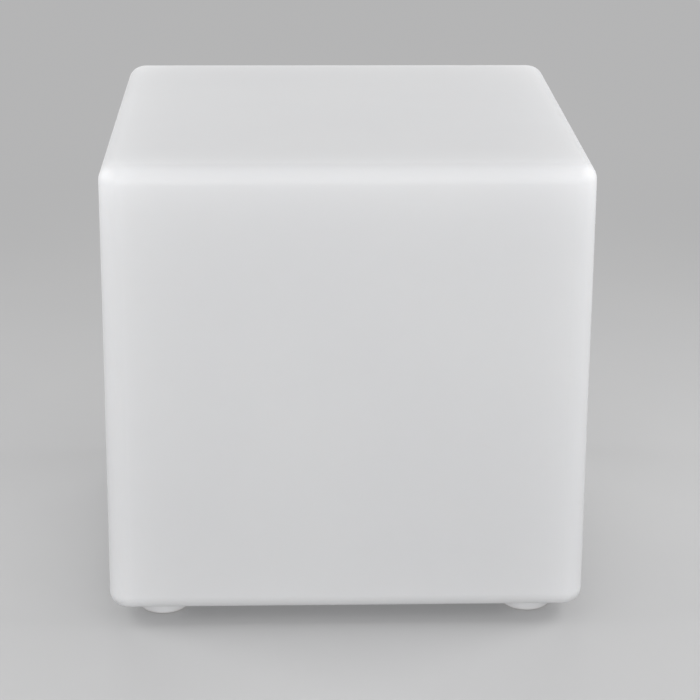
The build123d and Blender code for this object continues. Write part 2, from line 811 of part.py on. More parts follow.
# ---- Module housing: cup over the board, cradle for the cells, rim for the lamp ---------------
with BuildPart() as module_housing:
    with BuildSketch(Plane.XZ):
        with BuildLine():
            Polyline(
                (housing_bore_radius, plate_top_z),
                (housing_radius, plate_top_z),
                (housing_radius, rim_z),
                (heat_plate_radius + heat_plate_fit, rim_z),
                (heat_plate_radius + heat_plate_fit, heat_plate_z),
                (housing_bore_radius - ledge_width, heat_plate_z),
                (housing_bore_radius - ledge_width, heat_plate_z - ledge_width),
                (housing_bore_radius, heat_plate_z - 2 * ledge_width),
                close=True,
            )
        make_face()
    revolve(axis=Axis.Z)
    # Partition with a slot for each set of leads
    with BuildSketch(Plane.XY.offset(partition_z)):
        Circle(housing_bore_radius + housing_wall / 2)
        with Locations((-socket_x, 0)):
            Rectangle(lead_slot_length, battery_socket_width + 2 * lead_slot_room, mode=Mode.SUBTRACT)
        with Locations((socket_x, 0)):
            Rectangle(lead_slot_length, led_socket_width + 2 * lead_slot_room, mode=Mode.SUBTRACT)
        with Locations(*housing_post_places):
            Circle(m3_radius + screw_hole_room, mode=Mode.SUBTRACT)
    extrude(amount=partition_thickness)
    # Two saddles that the cells lie in
    with BuildSketch(Plane.XY.offset(partition_top_z)):
        with GridLocations(2 * saddle_x, 1, 2, 1):
            Rectangle(saddle_thickness, 2 * (cell_side_y + saddle_overhang))
    extrude(amount=saddle_height)
    with BuildSketch(Plane.YZ):
        with Locations((cell_y, cell_z), (-cell_y, cell_z)):
            Circle(cell_radius + saddle_fit)
    extrude(amount=cell_end_x, both=True, mode=Mode.SUBTRACT)
    # Posts for the strap and columns for the lamp plate, with their screw holes
    with BuildSketch(Plane.XY.offset(partition_top_z)):
        with Locations((0, strap_post_y), (0, -strap_post_y)):
            Circle(strap_post_radius)
    extrude(amount=strap_z - partition_top_z)
    with BuildSketch(Plane.XY.offset(partition_top_z)):
        with Locations(*plate_column_places):
            Circle(plate_column_radius)
    extrude(amount=heat_plate_z - partition_top_z)
    # A rib ties each column to the wall, up to the ledge
    rib_middle_y = (plate_column_y + housing_bore_radius) / 2
    with BuildSketch(Plane.XY.offset(partition_top_z)):
        with Locations(*four_corners(plate_column_x, rib_middle_y)):
            Rectangle(column_rib_thickness, housing_bore_radius - plate_column_y)
    extrude(amount=heat_plate_z - ledge_width - partition_top_z)
    with Locations((0, strap_post_y, strap_z), (0, -strap_post_y, strap_z)):
        Hole(m3_radius, strap_screw_length - strap_thickness + screw_tip_room)
    with at_places(plate_column_places, heat_plate_z):
        Hole(m3_radius, plate_screw_length - heat_plate_thickness - led_board_thickness + screw_tip_room)
module_housing.part.label = "module_housing"
export_step(module_housing.part, "parts/module_housing.step")

housing_screw = m3_screw(housing_screw_length)
with BuildPart() as housing_screws:
    with at_places(housing_post_places, partition_top_z, flip=True):
        add(housing_screw)
housing_screws.part.label = "housing_screws"
export_step(housing_screws.part, "parts/housing_screws.step")

# ---- Battery: two cells side by side, welded together and strapped down -----------------------
with BuildPart() as battery_cells:
    with BuildSketch(Plane.YZ.offset(-cell_end_x)):
        with Locations((cell_y, cell_z), (-cell_y, cell_z)):
            Circle(cell_radius)
    extrude(amount=cell_length - cell_cap_height)
    chamfer(battery_cells.edges().filter_by(GeomType.CIRCLE), cell_edge_bevel)
    with BuildSketch(Plane.YZ.offset(cell_end_x - cell_cap_height)):
        with Locations((cell_y, cell_z), (-cell_y, cell_z)):
            Circle(cell_cap_radius)
    extrude(amount=cell_cap_height)
battery_cells.part.label = "battery_cells"
export_step(battery_cells.part, "parts/battery_cells.step")

# Nickel strips: one across each end, and one back over the cells to the protection board.
tab_width = 2 * (cell_y + tab_bar_width)
with BuildPart() as cell_tabs:
    with BuildSketch(Plane.YZ.offset(-cell_end_x - tab_thickness)):
        with Locations((0, cell_z)):
            Rectangle(tab_width, tab_height)
    extrude(amount=tab_thickness)
    with BuildSketch(Plane.YZ.offset(cell_end_x)):
        with Locations((0, cell_z)):
            Rectangle(tab_width, tab_height)
        with Locations((0, cell_z + (tab_bar_rise + tab_thickness) / 2)):
            Rectangle(tab_bar_width, tab_bar_rise + tab_thickness)
    extrude(amount=tab_thickness)
    with BuildSketch(Plane.XY.offset(cell_z + tab_bar_rise)):
        with Locations((-protection_thickness / 2, 0)):
            Rectangle(cell_length + 2 * tab_thickness + protection_thickness, tab_bar_width)
    extrude(amount=tab_thickness)
cell_tabs.part.label = "cell_tabs"
export_step(cell_tabs.part, "parts/cell_tabs.step")

protection_x = -cell_end_x - tab_thickness - protection_thickness
with BuildPart() as battery_protection_board:
    with BuildSketch(Plane.YZ.offset(protection_x)):
        with Locations((0, cell_z + (tab_bar_rise - tab_height / 2) / 2)):
            Rectangle(protection_width, tab_bar_rise + tab_height / 2)
    extrude(amount=protection_thickness)
battery_protection_board.part.label = "battery_protection_board"
export_step(battery_protection_board.part, "parts/battery_protection_board.step")

# Foam pad that fills the valley between the cells and presses them down.
with BuildPart() as battery_pad:
    with BuildSketch(Plane.XY.offset(cell_z + tab_bar_rise + tab_thickness)):
        Rectangle(strap_width, pad_width)
    extrude(amount=cell_radius + pad_thickness - tab_bar_rise - tab_thickness)
    with BuildSketch(Plane.YZ):
        with Locations((cell_y, cell_z), (-cell_y, cell_z)):
            Circle(cell_radius + pad_fit)
    extrude(amount=strap_width, both=True, mode=Mode.SUBTRACT)
battery_pad.part.label = "battery_pad"
export_step(battery_pad.part, "parts/battery_pad.step")

with BuildPart() as battery_strap:
    with BuildSketch(Plane.XY.offset(strap_z)):
        SlotOverall(2 * (strap_post_y + strap_post_radius), strap_width, rotation=90)
        with Locations((0, strap_post_y), (0, -strap_post_y)):
            Circle(m3_radius + screw_hole_room, mode=Mode.SUBTRACT)
    extrude(amount=strap_thickness)
battery_strap.part.label = "battery_strap"
export_step(battery_strap.part, "parts/battery_strap.step")

strap_screw = m3_screw(strap_screw_length)
with BuildPart() as strap_screws:
    with at_places([(0, strap_post_y), (0, -strap_post_y)], strap_z + strap_thickness, flip=True):
        add(strap_screw)
strap_screws.part.label = "strap_screws"
export_step(strap_screws.part, "parts/strap_screws.step")

# Battery leads: down the face of the protection board, through the slot, into the connector.
battery_lead_x = protection_x - battery_wire_radius - wire_rest_gap
battery_plug_top_z = board_top_z + socket_height + connector_stand_out
battery_lead_top_z = cell_z + battery_lead_start


def battery_lead(y):
    """One lead, at its own way of the connector."""
    route = [
        (battery_lead_x, y, battery_lead_top_z),
        (battery_lead_x, y, battery_lead_top_z - battery_lead_drop),
        (-socket_x, y, partition_top_z),
        (-socket_x, y, battery_plug_top_z),
    ]
    bends = [8 * battery_wire_radius, 8 * battery_wire_radius]
    with BuildPart() as lead:
        with BuildLine() as path:
            FilletPolyline(*route, radius=bends)
        with BuildSketch(Plane(origin=route[0], z_dir=(0, 0, -1))):
            Circle(battery_wire_radius)
        sweep(path=path.line)
    return lead.part


red_lead_form = battery_lead(contact_pitch / 2)
with BuildPart() as battery_lead_red:
    add(red_lead_form)
battery_lead_red.part.label = "battery_lead_red"
export_step(battery_lead_red.part, "parts/battery_lead_red.step")

black_lead_form = battery_lead(-contact_pitch / 2)
with BuildPart() as battery_lead_black:
    add(black_lead_form)
battery_lead_black.part.label = "battery_lead_black"
export_step(battery_lead_black.part, "parts/battery_lead_black.step")

# ---- Lamp: aluminium plate in the rim, lamp board on it, dome over both -----------------------
notch_start_x = socket_x - led_lead_bend
notch_width = led_socket_width + 2 * lead_slot_room - contact_pitch
with BuildPart() as heat_plate:
    with BuildSketch(Plane.XY.offset(heat_plate_z)):
        Circle(heat_plate_radius)
        with Locations((notch_start_x, 0)):
            Rectangle(lead_slot_length + led_lead_bend / 2, notch_width,
                      align=(Align.MIN, Align.CENTER), mode=Mode.SUBTRACT)
        with Locations(*plate_column_places):
            Circle(m3_radius + screw_hole_room, mode=Mode.SUBTRACT)
    extrude(amount=heat_plate_thickness)
heat_plate.part.label = "heat_plate"
export_step(heat_plate.part, "parts/heat_plate.step")

with BuildPart() as led_board:
    with BuildSketch(Plane.XY.offset(rim_z)):
        Circle(led_board_radius)
        with Locations((notch_start_x, 0)):
            Rectangle(led_board_radius, notch_width, align=(Align.MIN, Align.CENTER),
                      mode=Mode.SUBTRACT)
        with Locations(*plate_column_places):
            Circle(m3_radius + screw_hole_room, mode=Mode.SUBTRACT)
    extrude(amount=led_board_thickness)
led_board.part.label = "led_board"
export_step(led_board.part, "parts/led_board.step")

plate_screw = m3_screw(plate_screw_length)
with BuildPart() as plate_screws:
    with at_places(plate_column_places, led_board_top_z, flip=True):
        add(plate_screw)
plate_screws.part.label = "plate_screws"
export_step(plate_screws.part, "parts/plate_screws.step")

# Four-colour lamps in two rings, each a white cup with a sunk round window.
lamp_rings = [(led_outer_circle, led_outer_count), (led_inner_circle, led_inner_count)]
with BuildPart() as led_chips:
    for ring_radius, lamp_count in lamp_rings:
        with BuildSketch(Plane.XY.offset(led_board_top_z)):
            with PolarLocations(ring_radius, lamp_count, start_angle=180 / lamp_count):
                Rectangle(led_size, led_size)
        extrude(amount=led_height)
        with BuildSketch(Plane.XY.offset(led_board_top_z + led_height)):
            with PolarLocations(ring_radius, lamp_count, start_angle=180 / lamp_count):
                Circle(led_window_radius)
        extrude(amount=-led_window_depth, mode=Mode.SUBTRACT)
led_chips.part.label = "led_chips"
export_step(led_chips.part, "parts/led_chips.step")

with BuildPart() as remote_receiver:
    with BuildSketch(Plane.XY.offset(led_board_top_z)):
        Rectangle(receiver_width, receiver_depth)
    extrude(amount=receiver_height)
    fillet(remote_receiver.edges().filter_by(Axis.Z), receiver_depth / 6)
    with Locations((0, 0, led_board_top_z + receiver_height)):
        Sphere(receiver_lens_radius)
remote_receiver.part.label = "remote_receiver"
export_step(remote_receiver.part, "parts/remote_receiver.step")

# Five leads: from the connector straight up through both slots, then over onto the lamp board.
led_plug_top_z = board_top_z + socket_height + connector_stand_out
led_lead_top_z = led_board_top_z + led_wire_radius + wire_rest_gap
with BuildPart() as led_leads:
    for way in range(led_ways):
        lead_y = (way - (led_ways - 1) / 2) * contact_pitch
        with BuildLine() as lead_path:
            FilletPolyline(
                (led_lead_start_x, lead_y, led_lead_top_z),
                (socket_x, lead_y, led_lead_top_z),
                (socket_x, lead_y, led_plug_top_z),
                radius=[led_lead_bend],
            )
        with BuildSketch(Plane(origin=(led_lead_start_x, lead_y, led_lead_top_z), z_dir=(1, 0, 0))):
            Circle(led_wire_radius)
        sweep(path=lead_path.line)
led_leads.part.label = "led_leads"
export_step(led_leads.part, "parts/led_leads.step")

with BuildPart() as dome_seal:
    with BuildSketch(Plane.XY.offset(rim_z)):
        Circle(housing_radius)
        Circle(heat_plate_radius + heat_plate_fit, mode=Mode.SUBTRACT)
    extrude(amount=dome_seal_thickness)
dome_seal.part.label = "dome_seal"
export_step(dome_seal.part, "parts/dome_seal.step")

with BuildPart() as led_dome:
    with BuildSketch(Plane.XZ):
        with BuildLine():
            TangentArc((0, dome_top_z), (dome_radius, dome_base_z), tangent=(1, 0))
            Polyline(
                (dome_radius, dome_base_z),
                (housing_radius, dome_base_z),
                (housing_radius, dome_flange_z),
                (dome_radius - dome_wall, dome_flange_z),
                (dome_radius - dome_wall, dome_base_z),
            )
            TangentArc((0, dome_top_z - dome_wall), (dome_radius - dome_wall, dome_base_z),
                       tangent=(1, 0))
            Line((0, dome_top_z - dome_wall), (0, dome_top_z))
        make_face()
    revolve(axis=Axis.Z)
led_dome.part.label = "led_dome"
export_step(led_dome.part, "parts/led_dome.step")

with BuildPart() as dome_ring:
    with BuildSketch(Plane.XZ):
        with BuildLine():
            Polyline(
                (dome_radius + ring_fit, dome_base_z),
                (housing_radius + ring_fit, dome_base_z),
                (housing_radius + ring_fit, rim_z - ring_skirt),
                (housing_radius + ring_wall, rim_z - ring_skirt),
                (housing_radius + ring_wall, dome_base_z + ring_lip),
                (dome_radius + ring_fit, dome_base_z + ring_lip),
                close=True,
            )
        make_face()
    revolve(axis=Axis.Z)
    chamfer(circles_at(dome_ring, dome_base_z + ring_lip, housing_radius + ring_wall), ring_chamfer)
dome_ring.part.label = "dome_ring"
export_step(dome_ring.part, "parts/dome_ring.step")
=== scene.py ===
import math

import bmesh
import bpy
from mathutils import Matrix, Vector, noise


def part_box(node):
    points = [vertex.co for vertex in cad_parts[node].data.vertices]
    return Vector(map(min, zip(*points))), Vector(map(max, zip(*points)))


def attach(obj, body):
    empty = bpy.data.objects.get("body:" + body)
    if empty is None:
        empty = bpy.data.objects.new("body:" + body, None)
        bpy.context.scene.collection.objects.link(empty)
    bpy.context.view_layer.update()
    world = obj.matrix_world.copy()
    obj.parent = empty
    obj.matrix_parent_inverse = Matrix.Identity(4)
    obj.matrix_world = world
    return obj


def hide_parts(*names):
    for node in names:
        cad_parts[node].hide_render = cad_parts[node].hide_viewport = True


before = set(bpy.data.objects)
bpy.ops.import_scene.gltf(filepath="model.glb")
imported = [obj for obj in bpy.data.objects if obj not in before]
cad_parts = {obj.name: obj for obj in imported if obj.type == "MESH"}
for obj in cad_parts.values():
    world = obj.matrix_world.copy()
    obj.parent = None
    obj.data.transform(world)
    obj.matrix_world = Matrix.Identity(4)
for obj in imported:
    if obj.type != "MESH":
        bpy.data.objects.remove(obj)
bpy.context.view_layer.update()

# ---- Cube moulding -----------------------------------------------------------
# The body is one hollow rotational moulding in white, faintly translucent polyethylene, with its
# four feet and the round recess for the electrics. It cools without a core, so its walls draw in
# slightly between the corners and its skin keeps a soft satin ripple.
cube_top_z = 0.398
cube_underside_z = 0.014
cube_half_width = 0.2
cube_draft = math.radians(0.35)
cube_corner_radius = 0.0175
cube_top_radius = 0.0145
cube_foot_radius = 0.0125
cube_wall = 0.004
inner_floor_z = 0.018
wall_bow = 0.0001
wall_dish = 0.0004
top_sink = 0.0004
skin_unevenness = 0.00012
unevenness_scale = 9
foot_centre = 0.156
foot_radius = 0.021
foot_rounding = 0.003
foot_hollow_radius = 0.017
recess_mouth_radius = 0.075
recess_floor_radius = 0.07395
recess_floor_z = 0.026
recess_roof_z = 0.030
mouth_radius = 0.049
boss_circle = 0.063
boss_radius = 0.0065
boss_top_z = 0.037
insert_hole_radius = 0.00322
insert_hole_top_z = 0.035
on_the_line = 1e-6


def rounded_profile(corners, arc_steps=8):
    """Radius and height pairs along a run of (radius, height, rounding) corners."""
    profile = [Vector(corners[0][:2])]
    for (r0, z0, _), (r1, z1, rounding), (r2, z2, _) in zip(corners, corners[1:], corners[2:]):
        corner = Vector((r1, z1))
        if rounding == 0:
            profile.append(corner)
            continue
        back = (Vector((r0, z0)) - corner).normalized()
        onward = (Vector((r2, z2)) - corner).normalized()
        half_angle = back.angle(onward) / 2
        centre = corner + (back + onward).normalized() * rounding / math.sin(half_angle)
        start = corner + back * rounding / math.tan(half_angle) - centre
        end = corner + onward * rounding / math.tan(half_angle) - centre
        sweep = start.angle(end)
        for step in range(arc_steps + 1):
            share = step / arc_steps
            blended = (math.sin((1 - share) * sweep) * start + math.sin(share * sweep) * end)
            profile.append(centre + blended / math.sin(sweep))
    profile.append(Vector(corners[-1][:2]))
    return profile


def closed_ring(mesh, points):
    """Points joined into a closed ring of edges."""
    ring = [mesh.verts.new(point) for point in points]
    for vertex, following in zip(ring, ring[1:] + ring[:1]):
        mesh.edges.new((vertex, following))
    return ring


def join_rings(mesh, ring, other):
    """A band of faces between two rings of as many points."""
    for i in range(len(ring)):
        j = (i + 1) % len(ring)
        mesh.faces.new((ring[i], ring[j], other[j], other[i]))


def close_ring(mesh, ring, centre):
    """A fan of faces from a ring to its centre."""
    middle = mesh.verts.new(centre)
    for vertex, following in zip(ring, ring[1:] + ring[:1]):
        mesh.faces.new((vertex, following, middle))


def turn_profile(mesh, profile, x, y, segments):
    """Turns a profile round the upright line through x, y; gives its first and last ring.
    An end that lies on the line is closed with a fan."""
    rings = []
    for radius, height in profile:
        if radius > on_the_line:
            rings.append(closed_ring(mesh, [
                (x + radius * math.cos(turn), y + radius * math.sin(turn), height)
                for turn in (2 * math.pi * i / segments for i in range(segments))]))
    for ring, following in zip(rings, rings[1:]):
        join_rings(mesh, ring, following)
    if profile[0][0] <= on_the_line:
        close_ring(mesh, rings[0], (x, y, profile[0][1]))
    if profile[-1][0] <= on_the_line:
        close_ring(mesh, rings[-1], (x, y, profile[-1][1]))
    return rings[0], rings[-1]


def flat_between(mesh, rings):
    """Fills the flat region inside the first ring and outside the others."""
    edges = [mesh.edges.get((a, b)) for ring in rings for a, b in zip(ring, ring[1:] + ring[:1])]
    bmesh.ops.triangle_fill(mesh, use_beauty=True, use_dissolve=False, edges=edges)


def drawn_in(x, y, height, half):
    """How far the cooled wall has drawn in from the mould at one point."""
    level = (height - cube_underside_z) / (cube_top_z - cube_underside_z)
    upright = math.sin(math.pi * level) ** 2
    along = min(abs(x), abs(y)) / half
    return upright * (wall_bow + wall_dish * (1 - along ** 2) ** 2)


def cube_ring(height, inset, half, corner_radius):
    """A rounded square of points at one height, set in from the mould's drafted wall."""
    half = half - inset
    radius = corner_radius - inset
    straight = half - radius
    side_steps, corner_steps = 26, 9
    points = []
    for quarter in range(4):
        turn = Matrix.Rotation(quarter * math.pi / 2, 2)
        for step in range(side_steps):
            along = straight * math.sin(math.pi / 2 * (2 * step / side_steps - 1))
            points.append((turn @ Vector((half, along)), turn @ Vector((1, 0))))
        for step in range(corner_steps):
            angle = math.pi / 2 * step / corner_steps
            outward = Vector((math.cos(angle), math.sin(angle)))
            corner = Vector((straight, straight)) + outward * radius
            points.append((turn @ corner, turn @ outward))
    ring = []
    for point, outward in points:
        place = Vector((point.x, point.y, height))
        ripple = skin_unevenness * noise.noise(place * unevenness_scale)
        point = point - outward * (drawn_in(point.x, point.y, height, half) + ripple)
        ring.append((point.x, point.y, height))
    return ring


def cube_skin(mesh, thickness):
    """The cube's closed walls, set in by a thickness; gives the ring round the underside."""
    bottom, top = cube_underside_z + thickness, cube_top_z - thickness
    foot_round, top_round = cube_foot_radius - thickness, cube_top_radius - thickness
    corner = cube_corner_radius - thickness
    low, high = bottom + foot_round, top - top_round
    middle, reach = (low + high) / 2, (high - low) / 2
    arc_steps, wall_steps, cap_steps = 12, 30, 16
    # Each level is a height and how far its ring is set in
    levels = []
    for step in range(arc_steps):
        angle = math.pi / 2 * step / arc_steps
        levels.append((bottom + foot_round * (1 - math.cos(angle)),
                       foot_round * (1 - math.sin(angle))))
    for step in range(wall_steps + 1):
        swing = math.sin(math.pi / 2 * (2 * step / wall_steps - 1))
        levels.append((middle + reach * swing, 0))
    for step in range(1, arc_steps + 1):
        angle = math.pi / 2 * step / arc_steps
        levels.append((high + top_round * math.sin(angle), top_round * (1 - math.cos(angle))))
    rings = []
    for height, inset in levels:
        half = cube_half_width - thickness - (height - cube_underside_z) * math.tan(cube_draft)
        rings.append(closed_ring(mesh, cube_ring(height, inset, half, corner)))
    # The flat top draws in towards its middle in ever smaller rounded squares
    rim = [vertex.co.copy() for vertex in rings[-1]]
    top_half = max(point.x for point in rim)
    for step in range(1, cap_steps):
        share = math.cos(math.pi / 2 * step / cap_steps)
        points = []
        for point in rim:
            x, y = point.x * share, point.y * share
            sink = top_sink * (1 - (x / top_half) ** 2) ** 2 * (1 - (y / top_half) ** 2) ** 2
            points.append((x, y, top - sink))
        rings.append(closed_ring(mesh, points))
    for ring, following in zip(rings, rings[1:]):
        join_rings(mesh, ring, following)
    close_ring(mesh, rings[-1], (0, 0, top - top_sink))
    return rings[0]


def mesh_piece(name, mesh):
    """Makes the finished mesh an object of its own, shaded smooth."""
    bmesh.ops.recalc_face_normals(mesh, faces=mesh.faces)
    data = bpy.data.meshes.new(name)
    mesh.to_mesh(data)
    mesh.free()
    data.shade_smooth()
    piece = bpy.data.objects.new(name, data)
    bpy.context.scene.collection.objects.link(piece)
    return piece


moulding = bmesh.new()
feet_places = [(x, y) for x in (-foot_centre, foot_centre) for y in (-foot_centre, foot_centre)]
boss_places = [(boss_circle * math.cos(turn), boss_circle * math.sin(turn))
               for turn in (math.pi / 3 * i for i in range(6))]

# The outer skin: walls, feet and recess. A corner is a radius, a height and a rounding, and a
# profile starts and ends on the flats that join it to its neighbours
outer_edge = cube_skin(moulding, 0)
foot_corners = [
    (0.027, cube_underside_z, 0), (0.0225, cube_underside_z, foot_rounding),
    (foot_radius, 0, foot_rounding), (0.004, 0, 0), (0, 0, 0)]
foot_roots = [turn_profile(moulding, rounded_profile(foot_corners), x, y, segments=56)[0]
              for x, y in feet_places]
recess_corners = [
    (0.082, cube_underside_z, 0), (recess_mouth_radius, cube_underside_z, 0.004),
    (recess_floor_radius, recess_floor_z, 0.002), (0.0715, recess_floor_z, 0)]
recess_rim, recess_floor_edge = turn_profile(
    moulding, rounded_profile(recess_corners), 0, 0, segments=120)
flat_between(moulding, [outer_edge, recess_rim] + foot_roots)

# The inner skin, one wall further in
inner_edge = cube_skin(moulding, cube_wall)
hollow_foot_corners = [
    (0.0185, inner_floor_z, 0), (0.0185, cube_underside_z, 0),
    (foot_hollow_radius, cube_wall, 0.002), (0, cube_wall, 0)]
hollow_foot_roots = [
    turn_profile(moulding, rounded_profile(hollow_foot_corners, 4), x, y, segments=28)[0]
    for x, y in feet_places]
hollow_recess_corners = [(0.0786, inner_floor_z, 0), (0.0776, recess_roof_z, 0)]
hollow_rim, hollow_roof_edge = turn_profile(
    moulding, rounded_profile(hollow_recess_corners), 0, 0, segments=120)
flat_between(moulding, [inner_edge, hollow_rim] + hollow_foot_roots)

# The mouth through the recess floor, and the bosses that hold the brass inserts
mouth_low, mouth_high = turn_profile(
    moulding, [(mouth_radius, recess_floor_z), (mouth_radius, recess_roof_z)], 0, 0, segments=120)
insert_hole_corners = [(insert_hole_radius, recess_floor_z, 0),
                       (insert_hole_radius, insert_hole_top_z, 0), (0, insert_hole_top_z, 0)]
insert_holes = [turn_profile(moulding, rounded_profile(insert_hole_corners), x, y, segments=20)[0]
                for x, y in boss_places]
boss_corners = [(boss_radius, recess_roof_z, 0), (boss_radius, boss_top_z, 0), (0, boss_top_z, 0)]
boss_feet = [turn_profile(moulding, rounded_profile(boss_corners), x, y, segments=28)[0]
             for x, y in boss_places]
flat_between(moulding, [recess_floor_edge, mouth_low] + insert_holes)
flat_between(moulding, [hollow_roof_edge, mouth_high] + boss_feet)
cube_moulding = mesh_piece("cube_moulding", moulding)
cube_moulding.data.set_sharp_from_angle(angle=math.radians(40))
even_flats = cube_moulding.modifiers.new("even_flats", "WEIGHTED_NORMAL")
even_flats.keep_sharp = True


FLOAT, COLOUR = "NodeSocketFloat", "NodeSocketColor"


def node(tree, kind, inputs=None, **settings):
    """Adds a shader node, with its settings and with values or links for its inputs."""
    made = tree.nodes.new(kind)
    for key, value in settings.items():
        setattr(made, key, value)
    for key, value in (inputs or {}).items():
        if isinstance(value, bpy.types.NodeSocket):
            tree.links.new(value, made.inputs[key])
        else:
            made.inputs[key].default_value = value
    return made


def effect_group(name, inputs, outputs):
    """Starts a shader node group; gives its tree, its input sockets and its output node."""
    tree = bpy.data.node_groups.new(name, "ShaderNodeTree")
    for label, (kind, usual) in inputs.items():
        tree.interface.new_socket(label, in_out="INPUT", socket_type=kind).default_value = usual
    for label, kind in outputs.items():
        tree.interface.new_socket(label, in_out="OUTPUT", socket_type=kind)
    return tree, tree.nodes.new("NodeGroupInput").outputs, tree.nodes.new("NodeGroupOutput")


def effect(tree, group, **inputs):
    """Places an effect in a material; gives its outputs."""
    labels = {key.replace("_", " ").title(): value for key, value in inputs.items()}
    return node(tree, "ShaderNodeGroup", labels, node_tree=group).outputs


def finish(name, **shader_inputs):
    """Starts a material; gives it, its tree and its shader."""
    material = bpy.data.materials.new(name)
    material.use_nodes = True
    shader = material.node_tree.nodes["Principled BSDF"]
    for label, value in shader_inputs.items():
        shader.inputs[label.replace("_", " ")].default_value = value
    return material, material.node_tree, shader


def mixed(tree, share, shade, other):
    """One colour blended into another by a share."""
    mix = node(tree, "ShaderNodeMix", {0: share, 6: shade, 7: other}, data_type="RGBA")
    return mix.outputs[2]


def ramp(tree, value, low, high, to_low=0.0, to_high=1.0):
    """A value taken smoothly from one range to another."""
    return node(tree, "ShaderNodeMapRange", {"Value": value, "From Min": low, "From Max": high,
                                             "To Min": to_low, "To Max": to_high},
                interpolation_type="SMOOTHSTEP").outputs[0]


def worked(tree, operation, *values):
    """The result of one calculation on shader values."""
    return node(tree, "ShaderNodeMath", dict(enumerate(values)), operation=operation).outputs[0]


def own_place(tree):
    """The shaded point in the part's own frame."""
    return node(tree, "ShaderNodeTexCoord").outputs["Object"]


def own_steps(tree):
    """The X, Y and Z of the shaded point in the part's own frame."""
    return node(tree, "ShaderNodeSeparateXYZ", {0: own_place(tree)}).outputs


def scale_for(tree, size):
    """The texture scale at which one cell is as large as a size."""
    return worked(tree, "DIVIDE", 1.0, size)


def feed(tree, shader, **values):
    """Links worked values to a shader's inputs."""
    for label, value in values.items():
        tree.links.new(value, shader.inputs[label.replace("_", " ").title()])


def raised(tree, shader, height, strength, depth):
    """Gives a shader the relief of a height."""
    relief = node(tree, "ShaderNodeBump", {"Height": height, "Strength": strength,
                                           "Distance": depth})
    tree.links.new(relief.outputs[0], shader.inputs["Normal"])


# Cloudy tint: two near shades that drift into each other, as in any moulded colour
tree, given, out = effect_group(
    "cloudy_tint",
    {"Shade": (COLOUR, (0.8, 0.8, 0.8, 1)), "Other Shade": (COLOUR, (0.75, 0.75, 0.75, 1)),
     "Patch Size": (FLOAT, 0.1)},
    {"Tint": COLOUR})
clouds = node(tree, "ShaderNodeTexNoise", {
    "Vector": own_place(tree), "Scale": scale_for(tree, given["Patch Size"]), "Detail": 3.0})
cloud_share = ramp(tree, clouds.outputs["Fac"], 0.32, 0.68)
tint = mixed(tree, cloud_share, given["Shade"], given["Other Shade"])
tree.links.new(tint, out.inputs["Tint"])
cloudy_tint = tree

# Orange peel: the ripple that a mould leaves on a skin, with a slower swell under it
tree, given, out = effect_group(
    "orange_peel", {"Ripple Size": (FLOAT, 0.002), "Swell Share": (FLOAT, 0.3)}, {"Height": FLOAT})
place = own_place(tree)
swell_size = 7.0    # in ripples
ripple_scale = scale_for(tree, given["Ripple Size"])
ripple = node(tree, "ShaderNodeTexNoise", {"Vector": place, "Scale": ripple_scale, "Detail": 2.0})
swell = node(tree, "ShaderNodeTexNoise", {
    "Vector": place, "Scale": worked(tree, "DIVIDE", ripple_scale, swell_size), "Detail": 1.0})
ripple_share = worked(tree, "SUBTRACT", 1.0, given["Swell Share"])
rippled = worked(tree, "MULTIPLY", ripple.outputs["Fac"], ripple_share)
tree.links.new(worked(tree, "MULTIPLY_ADD", swell.outputs["Fac"], given["Swell Share"], rippled),
               out.inputs["Height"])
orange_peel = tree

# Handling: soft rubbed patches and a few hair-thin scratches
tree, given, out = effect_group(
    "handling",
    {"Rub Size": (FLOAT, 0.03), "Rub Share": (FLOAT, 0.4), "Scratch Share": (FLOAT, 0.1)},
    {"Rubs": FLOAT, "Scratches": FLOAT})
place = own_place(tree)
rub_scale = scale_for(tree, given["Rub Size"])
rubs = node(tree, "ShaderNodeTexNoise", {"Vector": place, "Scale": rub_scale, "Detail": 5.0,
                                         "Roughness": 0.62, "Distortion": 0.4})
# A larger share lowers the level over which the noise counts as rubbed
rub_edge = worked(tree, "SUBTRACT", 0.72, worked(tree, "MULTIPLY", given["Rub Share"], 0.4))
rub_mask = ramp(tree, rubs.outputs["Fac"], rub_edge, worked(tree, "ADD", rub_edge, 0.22))
tree.links.new(rub_mask, out.inputs["Rubs"])
stretched = node(tree, "ShaderNodeMapping", {"Vector": place, "Rotation": (0.5, 0.35, 0.8),
                                             "Scale": (0.12, 3.0, 3.0)})
hairs = node(tree, "ShaderNodeTexNoise", {"Vector": stretched.outputs[0], "Scale": rub_scale,
                                          "Detail": 1.0})
off_line = worked(tree, "ABSOLUTE", worked(tree, "SUBTRACT", hairs.outputs["Fac"], 0.5))
hair_mask = ramp(tree, off_line, 0.0, 0.006, 1.0, 0.0)
tree.links.new(worked(tree, "MULTIPLY", hair_mask, given["Scratch Share"]),
               out.inputs["Scratches"])
handling = tree

# Specks: rare grains of dust or pigment, each a small dot
tree, given, out = effect_group(
    "specks", {"Spacing": (FLOAT, 0.02), "Grain Share": (FLOAT, 0.03), "Kept Share": (FLOAT, 0.3)},
    {"Grains": FLOAT})
cells = node(tree, "ShaderNodeTexVoronoi", {
    "Vector": own_place(tree), "Scale": scale_for(tree, given["Spacing"]), "Randomness": 1.0})
near = worked(tree, "LESS_THAN", cells.outputs["Distance"], given["Grain Share"])
luck = node(tree, "ShaderNodeSeparateColor", {"Color": cells.outputs["Color"]}).outputs[0]
chosen = worked(tree, "LESS_THAN", luck, given["Kept Share"])
tree.links.new(worked(tree, "MULTIPLY", near, chosen), out.inputs["Grains"])
specks = tree

